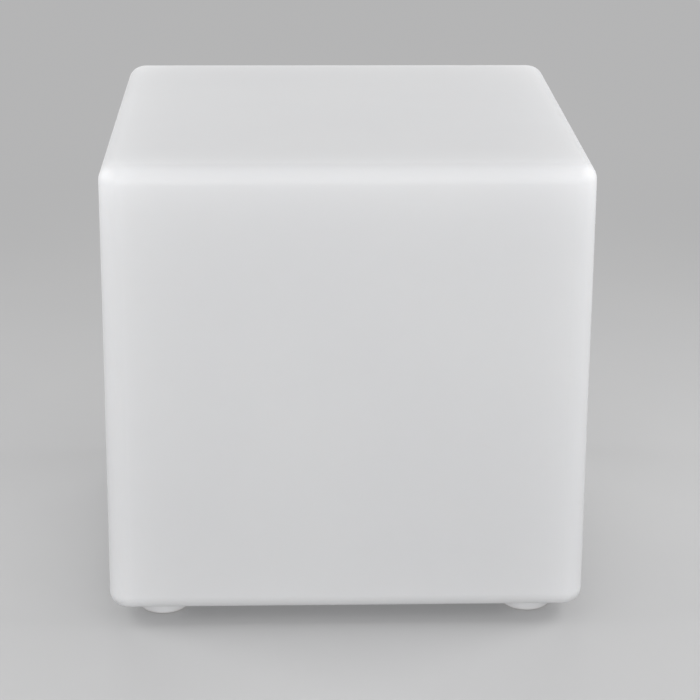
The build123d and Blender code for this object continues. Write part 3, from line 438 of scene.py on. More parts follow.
# Cube polyethylene: pale skin with a soft glow just under it, dull where its feet have stood.
# Its edges are painted whiter: a painted highlight for light scattered round the corners from the
# lit sides. The lower edges get less of it, a painted shade, as little light comes up from the
# ground.
polyethylene, tree, shader = finish(
    "cube_polyethylene", Subsurface_Weight=0.3, Subsurface_Scale=0.004, IOR=1.5,
    Subsurface_Radius=(1.0, 0.95, 0.9))
# The wall's own colour, and the painted highlight colour along its edges
flat_wall_shade, edge_highlight_shade = (0.690, 0.693, 0.702, 1), (0.856, 0.860, 0.872, 1)
dust_shade, worn_shade = (0.42, 0.40, 0.37, 1), (0.52, 0.50, 0.47, 1)
scratch_shade = (0.62, 0.61, 0.60, 1)
# How far the painted edge highlight reaches in, how far below the underside the lower edges'
# highlight is measured from (a painted shade there), and the cap on the highlight at corners
highlight_reach, lower_edge_shade_drop, highlight_cap = 0.021, 0.025, 1.1
across, deep, height = own_steps(tree)
from_side = worked(tree, "SUBTRACT", cube_half_width, worked(tree, "ABSOLUTE", across))
from_front = worked(tree, "SUBTRACT", cube_half_width, worked(tree, "ABSOLUTE", deep))
# Distance from the top, and from a line below the underside, so the lower edges get less painted
# highlight: a painted shade where little light comes up from the ground
from_end = worked(tree, "MINIMUM", worked(tree, "SUBTRACT", cube_top_z, height),
                  worked(tree, "SUBTRACT", height, cube_underside_z - lower_edge_shade_drop))
# Each pair of meeting faces adds painted highlight near their edge
highlight_per_edge = [
    worked(tree, "EXPONENT", worked(tree, "DIVIDE", worked(tree, "ADD", one, other), -highlight_reach))
    for one, other in ((from_side, from_front), (from_side, from_end), (from_front, from_end))]
# Here thickness is the share of painted edge highlight, summed at corners, not a wall thickness
thickness = worked(tree, "ADD", worked(tree, "ADD", highlight_per_edge[0], highlight_per_edge[1]), highlight_per_edge[2])
# The wall colour with the painted edge highlight blended in, up to its cap
highlighted_wall = node(tree, "ShaderNodeMix", {
    0: worked(tree, "MINIMUM", thickness, highlight_cap), 6: flat_wall_shade, 7: edge_highlight_shade},
    data_type="RGBA", clamp_factor=False).outputs[2]
faint_clouds = effect(tree, cloudy_tint, shade=(1, 1, 1, 1), other_shade=(0.985, 0.985, 0.988, 1),
                      patch_size=0.16)["Tint"]
# Faint clouds over the wall colour and its painted edge highlight
shade = node(tree, "ShaderNodeMix", {0: 1.0, 6: highlighted_wall, 7: faint_clouds}, data_type="RGBA",
             blend_type="MULTIPLY").outputs[2]
grains = effect(tree, specks, spacing=0.045, grain_share=0.012, kept_share=0.35)["Grains"]
marks = effect(tree, handling, rub_size=0.05, rub_share=0.35, scratch_share=0.35)
foot_wear_low, foot_wear_high = 0.0005, 0.0035
foot_wear = ramp(tree, height, foot_wear_low, foot_wear_high, 1.0, 0.0)
speckled = mixed(tree, worked(tree, "MULTIPLY", grains, 0.45), shade, dust_shade)
worn = mixed(tree, worked(tree, "MULTIPLY", foot_wear, 0.4), speckled, worn_shade)
scuffed = mixed(tree, worked(tree, "MULTIPLY", marks["Scratches"], 0.12), worn, scratch_shade)
skin_roughness, rub_dulling, foot_dulling = 0.53, 0.07, 0.25
dulled = worked(tree, "MULTIPLY_ADD", marks["Rubs"], rub_dulling, skin_roughness)
dulled = worked(tree, "MULTIPLY_ADD", foot_wear, foot_dulling, dulled)
feed(tree, shader, base_color=scuffed, roughness=dulled)
peel = effect(tree, orange_peel, ripple_size=0.0035, swell_share=0.5)["Height"]
scratched = worked(tree, "MULTIPLY_ADD", marks["Scratches"], -0.25, peel)
raised(tree, shader, scratched, strength=0.10, depth=0.0006)
cube_moulding.data.materials.append(polyethylene)
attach(cube_moulding, "cube")
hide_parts("shell")


def dress(names, material):
    """Gives CAD pieces their finish."""
    for name in names.split():
        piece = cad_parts[name]
        piece.data.materials.clear()
        piece.data.materials.append(material)


# ---- Threaded inserts --------------------------------------------------------
# Six turned brass bushes sit in the mould before it is filled and are gripped by the bosses round
# them. They take the screws of the base plate.

# Turning: fine rings left by the tool, with a tarnish that gathers in patches
tree, given, out = effect_group(
    "turning", {"Ring Size": (FLOAT, 0.0002), "Tarnish Size": (FLOAT, 0.004)},
    {"Rings": FLOAT, "Tarnish": FLOAT})
place = own_place(tree)
flattened = node(tree, "ShaderNodeMapping", {"Vector": place, "Scale": (0.05, 0.05, 1.0)})
rings = node(tree, "ShaderNodeTexNoise", {
    "Vector": flattened.outputs[0], "Scale": scale_for(tree, given["Ring Size"]), "Detail": 1.0})
tree.links.new(rings.outputs["Fac"], out.inputs["Rings"])
tarnish = node(tree, "ShaderNodeTexNoise", {
    "Vector": place, "Scale": scale_for(tree, given["Tarnish Size"]), "Detail": 4.0})
tree.links.new(ramp(tree, tarnish.outputs["Fac"], 0.42, 0.68), out.inputs["Tarnish"])
turning = tree


def turned_metal(name, shade, tarnished_shade, roughness, ring_size, tarnish_size):
    """Bare machined metal: tool rings in the gloss and relief, tarnish in colour and gloss."""
    metal, tree, shader = finish(name, Metallic=1.0)
    worn = effect(tree, turning, ring_size=ring_size, tarnish_size=tarnish_size)
    ringed = worked(tree, "MULTIPLY_ADD", worn["Rings"], 0.12, roughness - 0.06)
    feed(tree, shader, base_color=mixed(tree, worn["Tarnish"], shade, tarnished_shade),
         roughness=worked(tree, "MULTIPLY_ADD", worn["Tarnish"], 0.12, ringed))
    raised(tree, shader, worn["Rings"], strength=0.25, depth=ring_size / 4)
    return metal


turned_brass = turned_metal("turned_brass", (0.75, 0.60, 0.28, 1), (0.55, 0.40, 0.19, 1),
                            roughness=0.30, ring_size=0.0003, tarnish_size=0.003)
dress("threaded_inserts", turned_brass)

# ---- Base plate --------------------------------------------------------------
# A pale grey injection moulding closes the mouth of the recess and carries the whole module. Its
# spark-eroded face is a fine stipple, rubbed smoother in patches by handling.


def moulded(name, shade, other_shade, roughness, stipple_size, stipple_strength, rub_share=0.35,
            patch_size=0.03, **shader_inputs):
    """An injection-moulded finish: drifting colour, stippled skin, gloss rubbed up by handling."""
    plastic, tree, shader = finish(name, **shader_inputs)
    tint = effect(tree, cloudy_tint, shade=shade, other_shade=other_shade,
                  patch_size=patch_size)["Tint"]
    touched = effect(tree, handling, rub_size=patch_size / 2, rub_share=rub_share,
                     scratch_share=0.5)
    pale = tuple(min(1, channel * 1.18 + 0.03) for channel in shade[:3]) + (1,)
    scratched = mixed(tree, worked(tree, "MULTIPLY", touched["Scratches"], 0.35), tint, pale)
    feed(tree, shader, base_color=scratched,
         roughness=worked(tree, "MULTIPLY_ADD", touched["Rubs"], -0.14, roughness))
    stipple = effect(tree, orange_peel, ripple_size=stipple_size, swell_share=0.15)["Height"]
    raised(tree, shader, stipple, strength=stipple_strength, depth=stipple_size / 4)
    return plastic


plate_plastic = moulded(
    "plate_plastic", (0.60, 0.61, 0.62, 1), (0.555, 0.565, 0.58, 1), roughness=0.52,
    stipple_size=0.0008, stipple_strength=0.45, patch_size=0.04, IOR=1.5)
dress("base_plate", plate_plastic)

# ---- Flange seal -------------------------------------------------------------
# A black rubber ring lies in the plate's groove and is squashed against the recess floor.
seal_rubber = moulded(
    "seal_rubber", (0.028, 0.028, 0.029, 1), (0.042, 0.041, 0.040, 1), roughness=0.66,
    stipple_size=0.0005, stipple_strength=0.3, rub_share=0.2, patch_size=0.012, IOR=1.52)
dress("flange_seal", seal_rubber)

# ---- Flange screws -----------------------------------------------------------
# Six stainless M4 cap screws sit sunk in the flange and hold it to the brass inserts. Their heads
# are turned, and dulled by rain.
turned_steel = turned_metal("turned_steel", (0.64, 0.64, 0.62, 1), (0.50, 0.49, 0.46, 1),
                            roughness=0.27, ring_size=0.00025, tarnish_size=0.003)
dress("flange_screws", turned_steel)

# ---- Module housing ----------------------------------------------------------
# A white moulded cup stands on the plate's tall posts and holds board, battery and lamp. Four
# small stainless screws hold it down.
housing_plastic = moulded(
    "housing_plastic", (0.78, 0.78, 0.76, 1), (0.745, 0.742, 0.72, 1), roughness=0.42,
    stipple_size=0.0012, stipple_strength=0.25, rub_share=0.25, patch_size=0.035, IOR=1.5)
dress("module_housing", housing_plastic)
dress("housing_screws", turned_steel)

# ---- Driver board ------------------------------------------------------------
# A round glass-fibre board under green lacquer, with copper tracks showing through as a lighter
# green and tinned pads where parts are soldered. Four screws hold it on short posts.

# Tracks: stepped lines in two directions, and round pads scattered between them
tree, given, out = effect_group(
    "tracks", {"Pitch": (FLOAT, 0.002)}, {"Lines": FLOAT, "Pads": FLOAT})
block_size, lines_per_block = 6.0, 7.0    # the block in pitches
seen_from_above = node(tree, "ShaderNodeMapping", {
    "Vector": own_place(tree), "Scale": (1, 1, 0)}).outputs[0]
pitch_scale = scale_for(tree, given["Pitch"])
blocks = node(tree, "ShaderNodeTexVoronoi", {
    "Vector": seen_from_above, "Scale": worked(tree, "DIVIDE", pitch_scale, block_size),
    "Randomness": 0.8}, distance="CHEBYCHEV")
fringes = worked(tree, "FRACT",
                 worked(tree, "MULTIPLY", blocks.outputs["Distance"], lines_per_block))
lines = ramp(tree, worked(tree, "ABSOLUTE", worked(tree, "SUBTRACT", fringes, 0.5)), 0.20, 0.26)
tree.links.new(lines, out.inputs["Lines"])
dots = node(tree, "ShaderNodeTexVoronoi", {"Vector": seen_from_above, "Scale": pitch_scale,
                                           "Randomness": 0.6})
kept = node(tree, "ShaderNodeSeparateColor", {"Color": dots.outputs["Color"]}).outputs[0]
tree.links.new(worked(tree, "MULTIPLY", ramp(tree, dots.outputs["Distance"], 0.16, 0.20, 1.0, 0.0),
                      worked(tree, "LESS_THAN", kept, 0.22)), out.inputs["Pads"])
tracks = tree


def lacquered_board(name, bare_shade, track_shade, pad_shade, pitch):
    """Lacquer over tracks: the tracks stand a hair proud, the pads are bare tinned metal."""
    board, tree, shader = finish(name, IOR=1.5, Coat_Roughness=0.12)
    printed = effect(tree, tracks, pitch=pitch)
    lacquer = mixed(tree, printed["Lines"], bare_shade, track_shade)
    feed(tree, shader, base_color=mixed(tree, printed["Pads"], lacquer, pad_shade),
         metallic=printed["Pads"],
         roughness=worked(tree, "MULTIPLY_ADD", printed["Pads"], -0.10, 0.38),
         coat_weight=worked(tree, "MULTIPLY_ADD", printed["Pads"], -0.6, 0.6))
    raised(tree, shader, worked(tree, "MAXIMUM", printed["Lines"], printed["Pads"]),
           strength=0.35, depth=0.00004)
    return board


green_lacquer = lacquered_board("green_lacquer", (0.012, 0.10, 0.035, 1), (0.03, 0.20, 0.08, 1),
                                (0.72, 0.71, 0.68, 1), pitch=0.0011)
dress("driver_board battery_protection_board", green_lacquer)
dress("board_screws", turned_steel)

# ---- Board components --------------------------------------------------------
# The chips are black moulded epoxy with tinned legs or pads at board level. The inductor is a
# pressed block of black ferrite, and the capacitor a drawn aluminium can on a black foot. All of
# them are soldered to the board.
board_top_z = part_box("driver_board")[1].z


def on_feet(name, body_shade, feet_shade, feet_height, body_roughness, can=False):
    """A component in one finish, on feet in another: black on bare metal, or a metal can on black.
    The two meet at a height over the board."""
    part, tree, shader = finish(name, IOR=1.55)
    split, softness = board_top_z + feet_height, 0.00002
    body = ramp(tree, own_steps(tree)[2], split - softness, split + softness)
    darker_shade = tuple(channel * 0.86 for channel in body_shade[:3]) + (1,)
    cast = effect(tree, cloudy_tint, shade=body_shade, other_shade=darker_shade,
                  patch_size=0.004)["Tint"]
    grain = effect(tree, orange_peel, ripple_size=0.0002, swell_share=0.2)["Height"]
    feed(tree, shader, base_color=mixed(tree, body, feet_shade, cast),
         metallic=body if can else worked(tree, "SUBTRACT", 1.0, body),
         roughness=worked(tree, "MULTIPLY_ADD", grain, 0.15, body_roughness - 0.07))
    raised(tree, shader, grain, strength=0.3, depth=0.00004)
    return part


dress("control_chip", on_feet(
    "chip_epoxy", (0.040, 0.040, 0.042, 1), (0.70, 0.69, 0.66, 1), feet_height=0.0007,
    body_roughness=0.55))
dress("led_driver_chips", on_feet(
    "power_chip_epoxy", (0.042, 0.041, 0.042, 1), (0.70, 0.69, 0.66, 1), feet_height=0.0001,
    body_roughness=0.50))
dress("filter_capacitor", on_feet(
    "capacitor_can", (0.66, 0.67, 0.69, 1), (0.035, 0.035, 0.037, 1), feet_height=0.001,
    body_roughness=0.26, can=True))
dress("power_inductor", moulded(
    "inductor_ferrite", (0.055, 0.054, 0.055, 1), (0.042, 0.042, 0.043, 1), roughness=0.62,
    stipple_size=0.0003, stipple_strength=0.5, rub_share=0.15, patch_size=0.005, IOR=1.6))

# ---- Sockets and connectors --------------------------------------------------
# Board sockets and the plugs in them are moulded in natural nylon, a warm white that shows its
# flow. The sockets are soldered down, and the plugs are held by their fit.
connector_nylon = moulded(
    "connector_nylon", (0.80, 0.79, 0.74, 1), (0.74, 0.725, 0.67, 1), roughness=0.36,
    stipple_size=0.0004, stipple_strength=0.2, rub_share=0.2, patch_size=0.006, IOR=1.53)
dress("battery_socket battery_connector led_socket led_connector", connector_nylon)

# ---- Charging jack and switch ------------------------------------------------
# A black moulded barrel socket over the hole in the plate, with a bright plated pin in its middle.
# The body of the push switch beside it is the same black plastic. Both are soldered to the board.
jack_plastic = moulded(
    "jack_plastic", (0.040, 0.040, 0.041, 1), (0.050, 0.050, 0.051, 1), roughness=0.45,
    stipple_size=0.0004, stipple_strength=0.3, patch_size=0.006, IOR=1.53)
dress("charge_jack switch_body", jack_plastic)
dress("charge_jack_pin", turned_metal(
    "plated_pin", (0.72, 0.71, 0.68, 1), (0.60, 0.58, 0.53, 1), roughness=0.18,
    ring_size=0.0002, tarnish_size=0.002))

# ---- Switch plunger ----------------------------------------------------------
# The plunger of the push switch is moulded in red plastic and held by the switch body. The
# button lifts it from below.
dress("switch_plunger", moulded(
    "plunger_plastic", (0.66, 0.085, 0.07, 1), (0.58, 0.065, 0.055, 1), roughness=0.35,
    stipple_size=0.0003, stipple_strength=0.2, patch_size=0.004, IOR=1.5))

# ---- Battery -----------------------------------------------------------------
# Two lithium cells in blue shrunk film, joined by spot-welded nickel strips. A white bar over a
# foam pad holds them in their cradle.
cell_film, tree, shader = finish("cell_film", IOR=1.5, Coat_Weight=0.5, Coat_Roughness=0.08)
bare_end = 0.0022    # how much of a cell's steel can the film leaves free
film_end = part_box("battery_cells")[1].x - bare_end
from_middle = worked(tree, "ABSOLUTE", own_steps(tree)[0])
film = ramp(tree, from_middle, film_end - 0.0002, film_end, 1.0, 0.0)
blue = effect(tree, cloudy_tint, shade=(0.10, 0.30, 0.55, 1), other_shade=(0.085, 0.26, 0.50, 1),
              patch_size=0.02)["Tint"]
can_shade = (0.62, 0.61, 0.58, 1)
wrinkles = effect(tree, orange_peel, ripple_size=0.0025, swell_share=0.5)["Height"]
feed(tree, shader, base_color=mixed(tree, film, can_shade, blue),
     metallic=worked(tree, "SUBTRACT", 1.0, film),
     roughness=worked(tree, "MULTIPLY_ADD", wrinkles, 0.12, 0.24))
raised(tree, shader, wrinkles, strength=0.25, depth=0.0002)
dress("battery_cells", cell_film)
dress("cell_tabs", turned_metal(
    "nickel_strip", (0.66, 0.64, 0.58, 1), (0.54, 0.51, 0.45, 1), roughness=0.30,
    ring_size=0.0004, tarnish_size=0.003))
dress("battery_strap", housing_plastic)
dress("strap_screws", turned_steel)
dress("battery_pad", moulded(
    "pad_foam", (0.050, 0.050, 0.050, 1), (0.032, 0.032, 0.033, 1), roughness=0.92,
    stipple_size=0.0009, stipple_strength=1.0, rub_share=0.1, patch_size=0.004, IOR=1.35))

# ---- Battery leads -----------------------------------------------------------
# Two wires with extruded PVC, red and black, run from the protection board, where they are
# soldered, to the battery connector.


def insulation(name, shade, other_shade, roughness):
    """The smooth extruded plastic of a wire."""
    return moulded(name, shade, other_shade, roughness, stipple_size=0.0006,
                   stipple_strength=0.15, patch_size=0.01, IOR=1.52)


dress("battery_lead_red",
      insulation("red_insulation", (0.60, 0.03, 0.03, 1), (0.52, 0.025, 0.025, 1), 0.38))
dress("battery_lead_black",
      insulation("black_insulation", (0.030, 0.030, 0.031, 1), (0.040, 0.040, 0.041, 1), 0.38))

# ---- Lamp --------------------------------------------------------------------
# An aluminium plate takes the heat of the lamp board above it, which is white lacquer on aluminium
# with twelve lamps and the receiver for a hand control. Four screws go through both.
rolled_aluminium = turned_metal(
    "rolled_aluminium", (0.70, 0.71, 0.72, 1), (0.60, 0.61, 0.62, 1), roughness=0.34,
    ring_size=0.0005, tarnish_size=0.01)
dress("heat_plate", rolled_aluminium)
dress("plate_screws", turned_steel)
white_lacquer = lacquered_board("white_lacquer", (0.80, 0.80, 0.78, 1), (0.84, 0.84, 0.82, 1),
                                (0.70, 0.69, 0.66, 1), pitch=0.0016)
dress("led_board", white_lacquer)

# A lamp has a white body. Its window, 0.2 to 0.4 mm below its top, is filled with yellow gel
lamp_body, tree, shader = finish("lamp_body", IOR=1.5)
lamp_top_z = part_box("led_chips")[1].z
lamp_height = own_steps(tree)[2]
in_window = ramp(tree, lamp_height, lamp_top_z - 0.00020, lamp_top_z - 0.00015, 1.0, 0.0)
above_side = ramp(tree, lamp_height, lamp_top_z - 0.00045, lamp_top_z - 0.00035)
phosphor = effect(tree, cloudy_tint, shade=(0.86, 0.66, 0.10, 1),
                  other_shade=(0.80, 0.58, 0.08, 1), patch_size=0.0012)["Tint"]
in_gel = worked(tree, "MULTIPLY", in_window, above_side)
body_shade = (0.80, 0.79, 0.75, 1)
gel = effect(tree, orange_peel, ripple_size=0.0008, swell_share=0.4)["Height"]
feed(tree, shader, base_color=mixed(tree, in_gel, body_shade, phosphor),
     roughness=worked(tree, "MULTIPLY_ADD", gel, 0.2, 0.22))
dress("led_chips", lamp_body)
dress("remote_receiver", moulded(
    "receiver_epoxy", (0.030, 0.028, 0.034, 1), (0.045, 0.040, 0.050, 1), roughness=0.16,
    stipple_size=0.0006, stipple_strength=0.1, patch_size=0.005, IOR=1.55, Coat_Weight=0.6))

# ---- Lamp leads --------------------------------------------------------------
# Five wires with white extruded PVC come up through slots in the heat plate and bend over onto
# the lamp board, where they are soldered.
dress("led_leads",
      insulation("white_insulation", (0.75, 0.75, 0.73, 1), (0.69, 0.69, 0.66, 1), 0.40))

# ---- Dome --------------------------------------------------------------------
# A clear polycarbonate cover over the lamps, on a flat rubber seal. A white ring that clips over
# the rim of the housing clamps it.
clear_moulding, tree, shader = finish("clear_moulding", IOR=1.58, Transmission_Weight=1.0)
tint = effect(tree, cloudy_tint, shade=(0.93, 0.95, 0.95, 1), other_shade=(0.90, 0.92, 0.92, 1),
              patch_size=0.02)["Tint"]
touched = effect(tree, handling, rub_size=0.012, rub_share=0.3, scratch_share=0.6)
feed(tree, shader, base_color=tint,
     roughness=worked(tree, "MULTIPLY_ADD", touched["Rubs"], 0.10, 0.04))
flow = effect(tree, orange_peel, ripple_size=0.006, swell_share=0.6)["Height"]
raised(tree, shader, flow, strength=0.06, depth=0.0004)
dress("led_dome", clear_moulding)
dress("dome_seal", seal_rubber)
dress("dome_ring", housing_plastic)

# ---- Status light ------------------------------------------------------------
# A small lamp under the board shows through the pipe in the plate. Its body is faintly green. The
# pipe is moulded in milky polycarbonate, so that its end glows evenly and shows pale when unlit.
dress("status_led", moulded(
    "status_lamp_resin", (0.55, 0.80, 0.58, 1), (0.48, 0.74, 0.52, 1), roughness=0.15,
    stipple_size=0.0005, stipple_strength=0.1, patch_size=0.002, IOR=1.5, Coat_Weight=0.4))
dress("status_light_pipe", moulded(
    "milky_polycarbonate", (0.80, 0.82, 0.82, 1), (0.74, 0.77, 0.77, 1), roughness=0.22,
    stipple_size=0.0006, stipple_strength=0.12, patch_size=0.003, IOR=1.58,
    Transmission_Weight=0.25))

# ---- Power button ------------------------------------------------------------
# A grey silicone button stands inside a raised guard ring, with a hollow and a fine ridge round it
# for the fingertip. It is rubbed shinier in patches, and a rubber ring keeps the rain out.
soft_silicone = moulded(
    "soft_silicone", (0.16, 0.17, 0.18, 1), (0.185, 0.195, 0.205, 1), roughness=0.58,
    stipple_size=0.0005, stipple_strength=0.4, rub_share=0.45, patch_size=0.014, IOR=1.43)
button_low, button_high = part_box("power_button")
button_x = (button_low.x + button_high.x) / 2
button_radius, collar_radius = 0.0060, (button_high.x - button_low.x) / 2
face_z, collar_z, back_z = button_low.z, button_high.z - 0.0012, button_high.z
button_corners = [
    # the fingertip's hollow, the ridge round it and the rounded rim
    (0, face_z + 0.0005, 0), (0.0028, face_z + 0.0003, 0.006), (0.0040, face_z + 0.0001, 0.0004),
    (0.0043, face_z, 0.0003), (0.0047, face_z, 0.0003), (0.0049, face_z + 0.00015, 0.0002),
    (button_radius, face_z + 0.00020, 0.0008),
    # the side, the collar that keeps it in the plate and the flat back
    (button_radius, collar_z, 0), (collar_radius, collar_z, 0.0002),
    (collar_radius, back_z, 0.0002), (0, back_z, 0)]
cap = bmesh.new()
turn_profile(cap, rounded_profile(button_corners, 6), button_x, 0, segments=72)
button_cap = mesh_piece("button_cap", cap)
button_cap.data.set_sharp_from_angle(angle=math.radians(50))
button_cap.data.materials.append(soft_silicone)
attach(button_cap, "button")
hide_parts("power_button")
dress("button_seal", seal_rubber)

# ---- Charging port flap ------------------------------------------------------
# One soft silicone moulding: a round flap with a stopper that plugs the port, a ribbed tab to lift
# it by, a thin strap that bends as the hinge, and an anchor pad whose stem is pushed through the
# plate. The strap's two halves meet at the bend.
flap_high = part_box("charge_port_flap")[1]
port_x, anchor_x, strap_root_x, tab_x = 0.022, 0.037, 0.0240, 0.0130
flap_radius, anchor_radius, strap_half_width = 0.0065, 0.0029, 0.0025
flap_face_z, strap_low_z, strap_high_z, dish_z = 0.0224, 0.0228, 0.0238, 0.024
seat_z = dish_z - 0.00002    # a hair short of the plate's dish
rib_half_width, rib_half_length = 0.0002, 0.0017
skin_grain = 0.00016


def slab(mesh, outline, low, high, edge):
    """A flat slab with rounded edges: an outline's points, and how far each may move inwards."""
    arc_steps = 4
    profile = [(edge * (1 - math.sin(angle)), low + edge * (1 - math.cos(angle)))
               for angle in (math.pi / 2 * i / arc_steps for i in range(arc_steps + 1))]
    profile += [(inset, low + high - z) for inset, z in reversed(profile)]
    rings = [
        closed_ring(mesh, [(x - nx * inset, y - ny * inset, z) for (x, y), (nx, ny) in outline])
        for inset, z in profile]
    for ring, following in zip(rings, rings[1:]):
        join_rings(mesh, ring, following)
    mesh.faces.new(rings[0])
    mesh.faces.new(rings[-1])


def strap_outline(x_from, x_to, pull_from, pull_to):
    """The strap's four corners between two ends, with how each moves where the edge is rounded."""
    return [((x_from, -strap_half_width), (pull_from, -1)),
            ((x_to, -strap_half_width), (pull_to, -1)),
            ((x_to, strap_half_width), (pull_to, 1)),
            ((x_from, strap_half_width), (pull_from, 1))]


def slot_outline(x_from, x_to, radius, steps=16):
    """A slot along X between two end centres, as points with their outward directions."""
    outline = []
    for centre, start in ((x_to, -math.pi / 2), (x_from, math.pi / 2)):
        for i in range(steps + 1):
            angle = start + math.pi * i / steps
            outward = (math.cos(angle), math.sin(angle))
            outline.append(((centre + radius * outward[0], radius * outward[1]), outward))
    return outline


def soft_moulding(name, mesh):
    """Melts overlapping forms into one soft skin with rounded inner corners."""
    piece = mesh_piece(name, mesh)
    melt = piece.modifiers.new("melt", "REMESH")
    melt.mode, melt.voxel_size, melt.use_smooth_shade = "VOXEL", skin_grain, True
    relax = piece.modifiers.new("relax", "SMOOTH")
    relax.factor, relax.iterations = 0.5, 4
    bpy.context.view_layer.update()
    melted = bpy.data.meshes.new_from_object(
        piece.evaluated_get(bpy.context.evaluated_depsgraph_get()))
    piece.modifiers.clear()
    piece.data = melted
    melted.name = name
    melted.materials.clear()
    melted.materials.append(soft_silicone)
    return piece


# The round flap, its tab, the strap's half and the ribs, then the stopper on its back
flap = bmesh.new()
slab(flap, slot_outline(port_x, port_x, flap_radius, 24), flap_face_z, seat_z, edge=0.0005)
slab(flap, slot_outline(tab_x, port_x, strap_half_width), flap_face_z, seat_z, edge=0.0005)
for rib_x in (0.0120, 0.0132, 0.0144):
    rib_outline = [((rib_x + nx * rib_half_width, ny * rib_half_length), (nx, ny))
                   for nx, ny in ((1, -1), (1, 1), (-1, 1), (-1, -1))]
    slab(flap, rib_outline, flap_face_z - 0.0001, flap_face_z + 0.0004, edge=0.00005)
slab(flap, strap_outline(strap_root_x, flap_high.x, 0, 1), strap_low_z, strap_high_z, edge=0.0003)
stopper_root_z, stopper_tip_z = dish_z - 0.0004, flap_high.z
stopper_corners = [
    (0, stopper_root_z, 0), (0.0032, stopper_root_z, 0), (0.00295, stopper_tip_z, 0.0004),
    (0.0010, stopper_tip_z, 0), (0, stopper_tip_z - 0.0003, 0)]
turn_profile(flap, rounded_profile(stopper_corners), port_x, 0, segments=48)
port_flap = soft_moulding("port_flap_moulding", flap)
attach(port_flap, "port_flap")
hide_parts("charge_port_flap")

# The anchor pad and the strap's other half, then the stem with its barb behind the plate
tether_low, tether_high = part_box("flap_tether")
tether = bmesh.new()
slab(tether, slot_outline(anchor_x, anchor_x, anchor_radius, 20), strap_low_z, seat_z,
     edge=0.0004)
slab(tether, strap_outline(tether_low.x, anchor_x, -1, 0), strap_low_z, seat_z, edge=0.0003)
stem_root_z, barb_z, stem_radius = 0.0236, 0.027, 0.0015
stem_corners = [
    (0, stem_root_z, 0), (stem_radius, stem_root_z, 0), (stem_radius, barb_z, 0),
    (0.0021, barb_z, 0.0001), (0.0016, tether_high.z, 0.0003), (0, tether_high.z, 0)]
turn_profile(tether, rounded_profile(stem_corners), anchor_x, 0, segments=32)
flap_anchor = soft_moulding("flap_anchor_moulding", tether)
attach(flap_anchor, "cube")
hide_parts("flap_tether")

# ---- Studio ------------------------------------------------------------------
# A pale grey floor under the cube runs out into a background of the same tone. It is painted on
# its upper side only and throws no light back, so the underside can be seen and lit from below.
backdrop_tone = (0.46, 0.46, 0.463, 1)
floor_radius, floor_z = 9.0, -0.0004
ground = bmesh.new()
turn_profile(ground, [Vector((floor_radius * share, floor_z)) for share in (1, 0.5, 0.2, 0.08, 0)],
             0, 0, segments=64)
floor = mesh_piece("studio_floor", ground)
if floor.data.polygons[0].normal.z < 0:
    floor.data.flip_normals()
floor_paint, tree, shader = finish("floor_paint", Roughness=0.75)
tone = effect(tree, cloudy_tint, shade=(0.60, 0.60, 0.602, 1), other_shade=(0.58, 0.58, 0.584, 1),
              patch_size=0.5)["Tint"]
feed(tree, shader, base_color=tone)
rolled_on = effect(tree, orange_peel, ripple_size=0.004, swell_share=0.3)["Height"]
raised(tree, shader, rolled_on, strength=0.05, depth=0.0005)
from_cube = node(tree, "ShaderNodeVectorMath", {0: own_place(tree)},
                 operation="LENGTH").outputs["Value"]
run_out_start, run_out_end = 0.45, 1.5
run_out = node(tree, "ShaderNodeMixShader", {
    0: ramp(tree, from_cube, run_out_start, run_out_end), 1: shader.outputs[0],
    2: node(tree, "ShaderNodeEmission", {"Color": backdrop_tone}).outputs[0]})
ray = node(tree, "ShaderNodeLightPath").outputs
light_carrying = worked(tree, "MAXIMUM", ray["Is Shadow Ray"], ray["Is Diffuse Ray"])
unseen = worked(tree, "MAXIMUM", light_carrying,
                node(tree, "ShaderNodeNewGeometry").outputs["Backfacing"])
seen = node(tree, "ShaderNodeMixShader", {0: unseen, 1: run_out.outputs[0],
                                          2: node(tree, "ShaderNodeBsdfTransparent").outputs[0]})
tree.links.new(seen.outputs[0], tree.nodes["Material Output"].inputs["Surface"])
floor.data.materials.append(floor_paint)


def soft_box(name, place, aim, width, height, power):
    """A rectangular studio lamp at one point, turned to face another."""
    lamp = bpy.data.lights.new(name, "AREA")
    lamp.shape = "RECTANGLE"
    lamp.size, lamp.size_y = width, height
    lamp.energy = power
    holder = bpy.data.objects.new(name, lamp)
    holder.location = place
    holder.rotation_euler = (Vector(place) - Vector(aim)).to_track_quat("Z", "Y").to_euler()
    holder.visible_camera = False
    bpy.context.scene.collection.objects.link(holder)


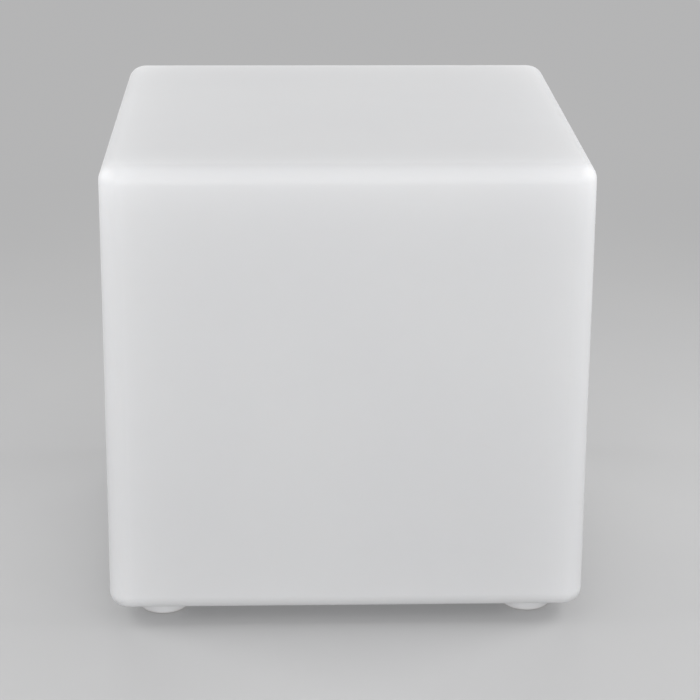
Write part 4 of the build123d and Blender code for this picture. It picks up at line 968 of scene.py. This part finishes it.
# Each lamp's name, place, aim, width, height and power in watts
for box in (("left_box", (-1.0, 0, 0.8), (0, 0, 0.3), 0.8, 0.8, 5.3),
            ("right_box", (1.0, 0, 0.8), (0, 0, 0.3), 0.8, 0.8, 6.1),
            ("left_front_box", (-0.95, -1.15, 1.15), (0, 0, 0.25), 0.8, 0.9, 2.6),
            ("right_front_box", (0.95, -1.15, 1.15), (0, 0, 0.25), 0.8, 0.9, 3.0),
            ("low_front_box", (0, -1.9, 0.5), (0, 0, 0.2), 1.6, 0.6, 16.3),
            ("back_box", (0, 1.7, 1.2), (0, 0, 0.2), 1.6, 1.2, 8.5),
            ("under_box", (0, 0, -1.3), (0, 0, 0), 1.2, 1.2, 2.0)):
    soft_box(*box)

# The air round the set lights the cube evenly from all sides, and shows as the backdrop
sky = bpy.context.scene.world or bpy.data.worlds.new("studio_air")
bpy.context.scene.world = sky
sky.use_nodes = True
air = sky.node_tree
ray = node(air, "ShaderNodeLightPath").outputs
straight_or_mirrored = worked(air, "MAXIMUM", ray["Is Camera Ray"], ray["Is Glossy Ray"])
looked_at = worked(air, "MAXIMUM", straight_or_mirrored, ray["Is Transmission Ray"])
light = node(air, "ShaderNodeBackground", {"Color": (0.5, 0.5, 0.5, 1), "Strength": 0.6})
shown = node(air, "ShaderNodeBackground", {"Color": backdrop_tone, "Strength": 1.0})
both = node(air, "ShaderNodeMixShader", {0: looked_at, 1: light.outputs[0], 2: shown.outputs[0]})
air.links.new(both.outputs[0], air.nodes["World Output"].inputs["Surface"])

bpy.context.scene.view_settings.view_transform = "Standard"

# ---- Camera ------------------------------------------------------------------
# It stands 1.9 m off, a little above the cube. Its place, turn and lens are fitted to the cube's
# outline in the photograph.
lens = bpy.data.cameras.new("photo_lens")
lens.sensor_width = 36
lens.lens = 107.55
photo_camera = bpy.data.objects.new("photo_camera", lens)
to_right, to_top, backwards = ((0.99949, -0.03156, 0.00572), (0.00525, 0.33683, 0.94155),
                               (-0.03165, -0.94104, 0.33682))
camera_place = Matrix.Translation((-0.0519, -1.7862, 0.8146))
camera_turn = Matrix((to_right, to_top, backwards)).transposed().to_4x4()
photo_camera.matrix_world = camera_place @ camera_turn
bpy.context.scene.collection.objects.link(photo_camera)
bpy.context.scene.camera = photo_camera
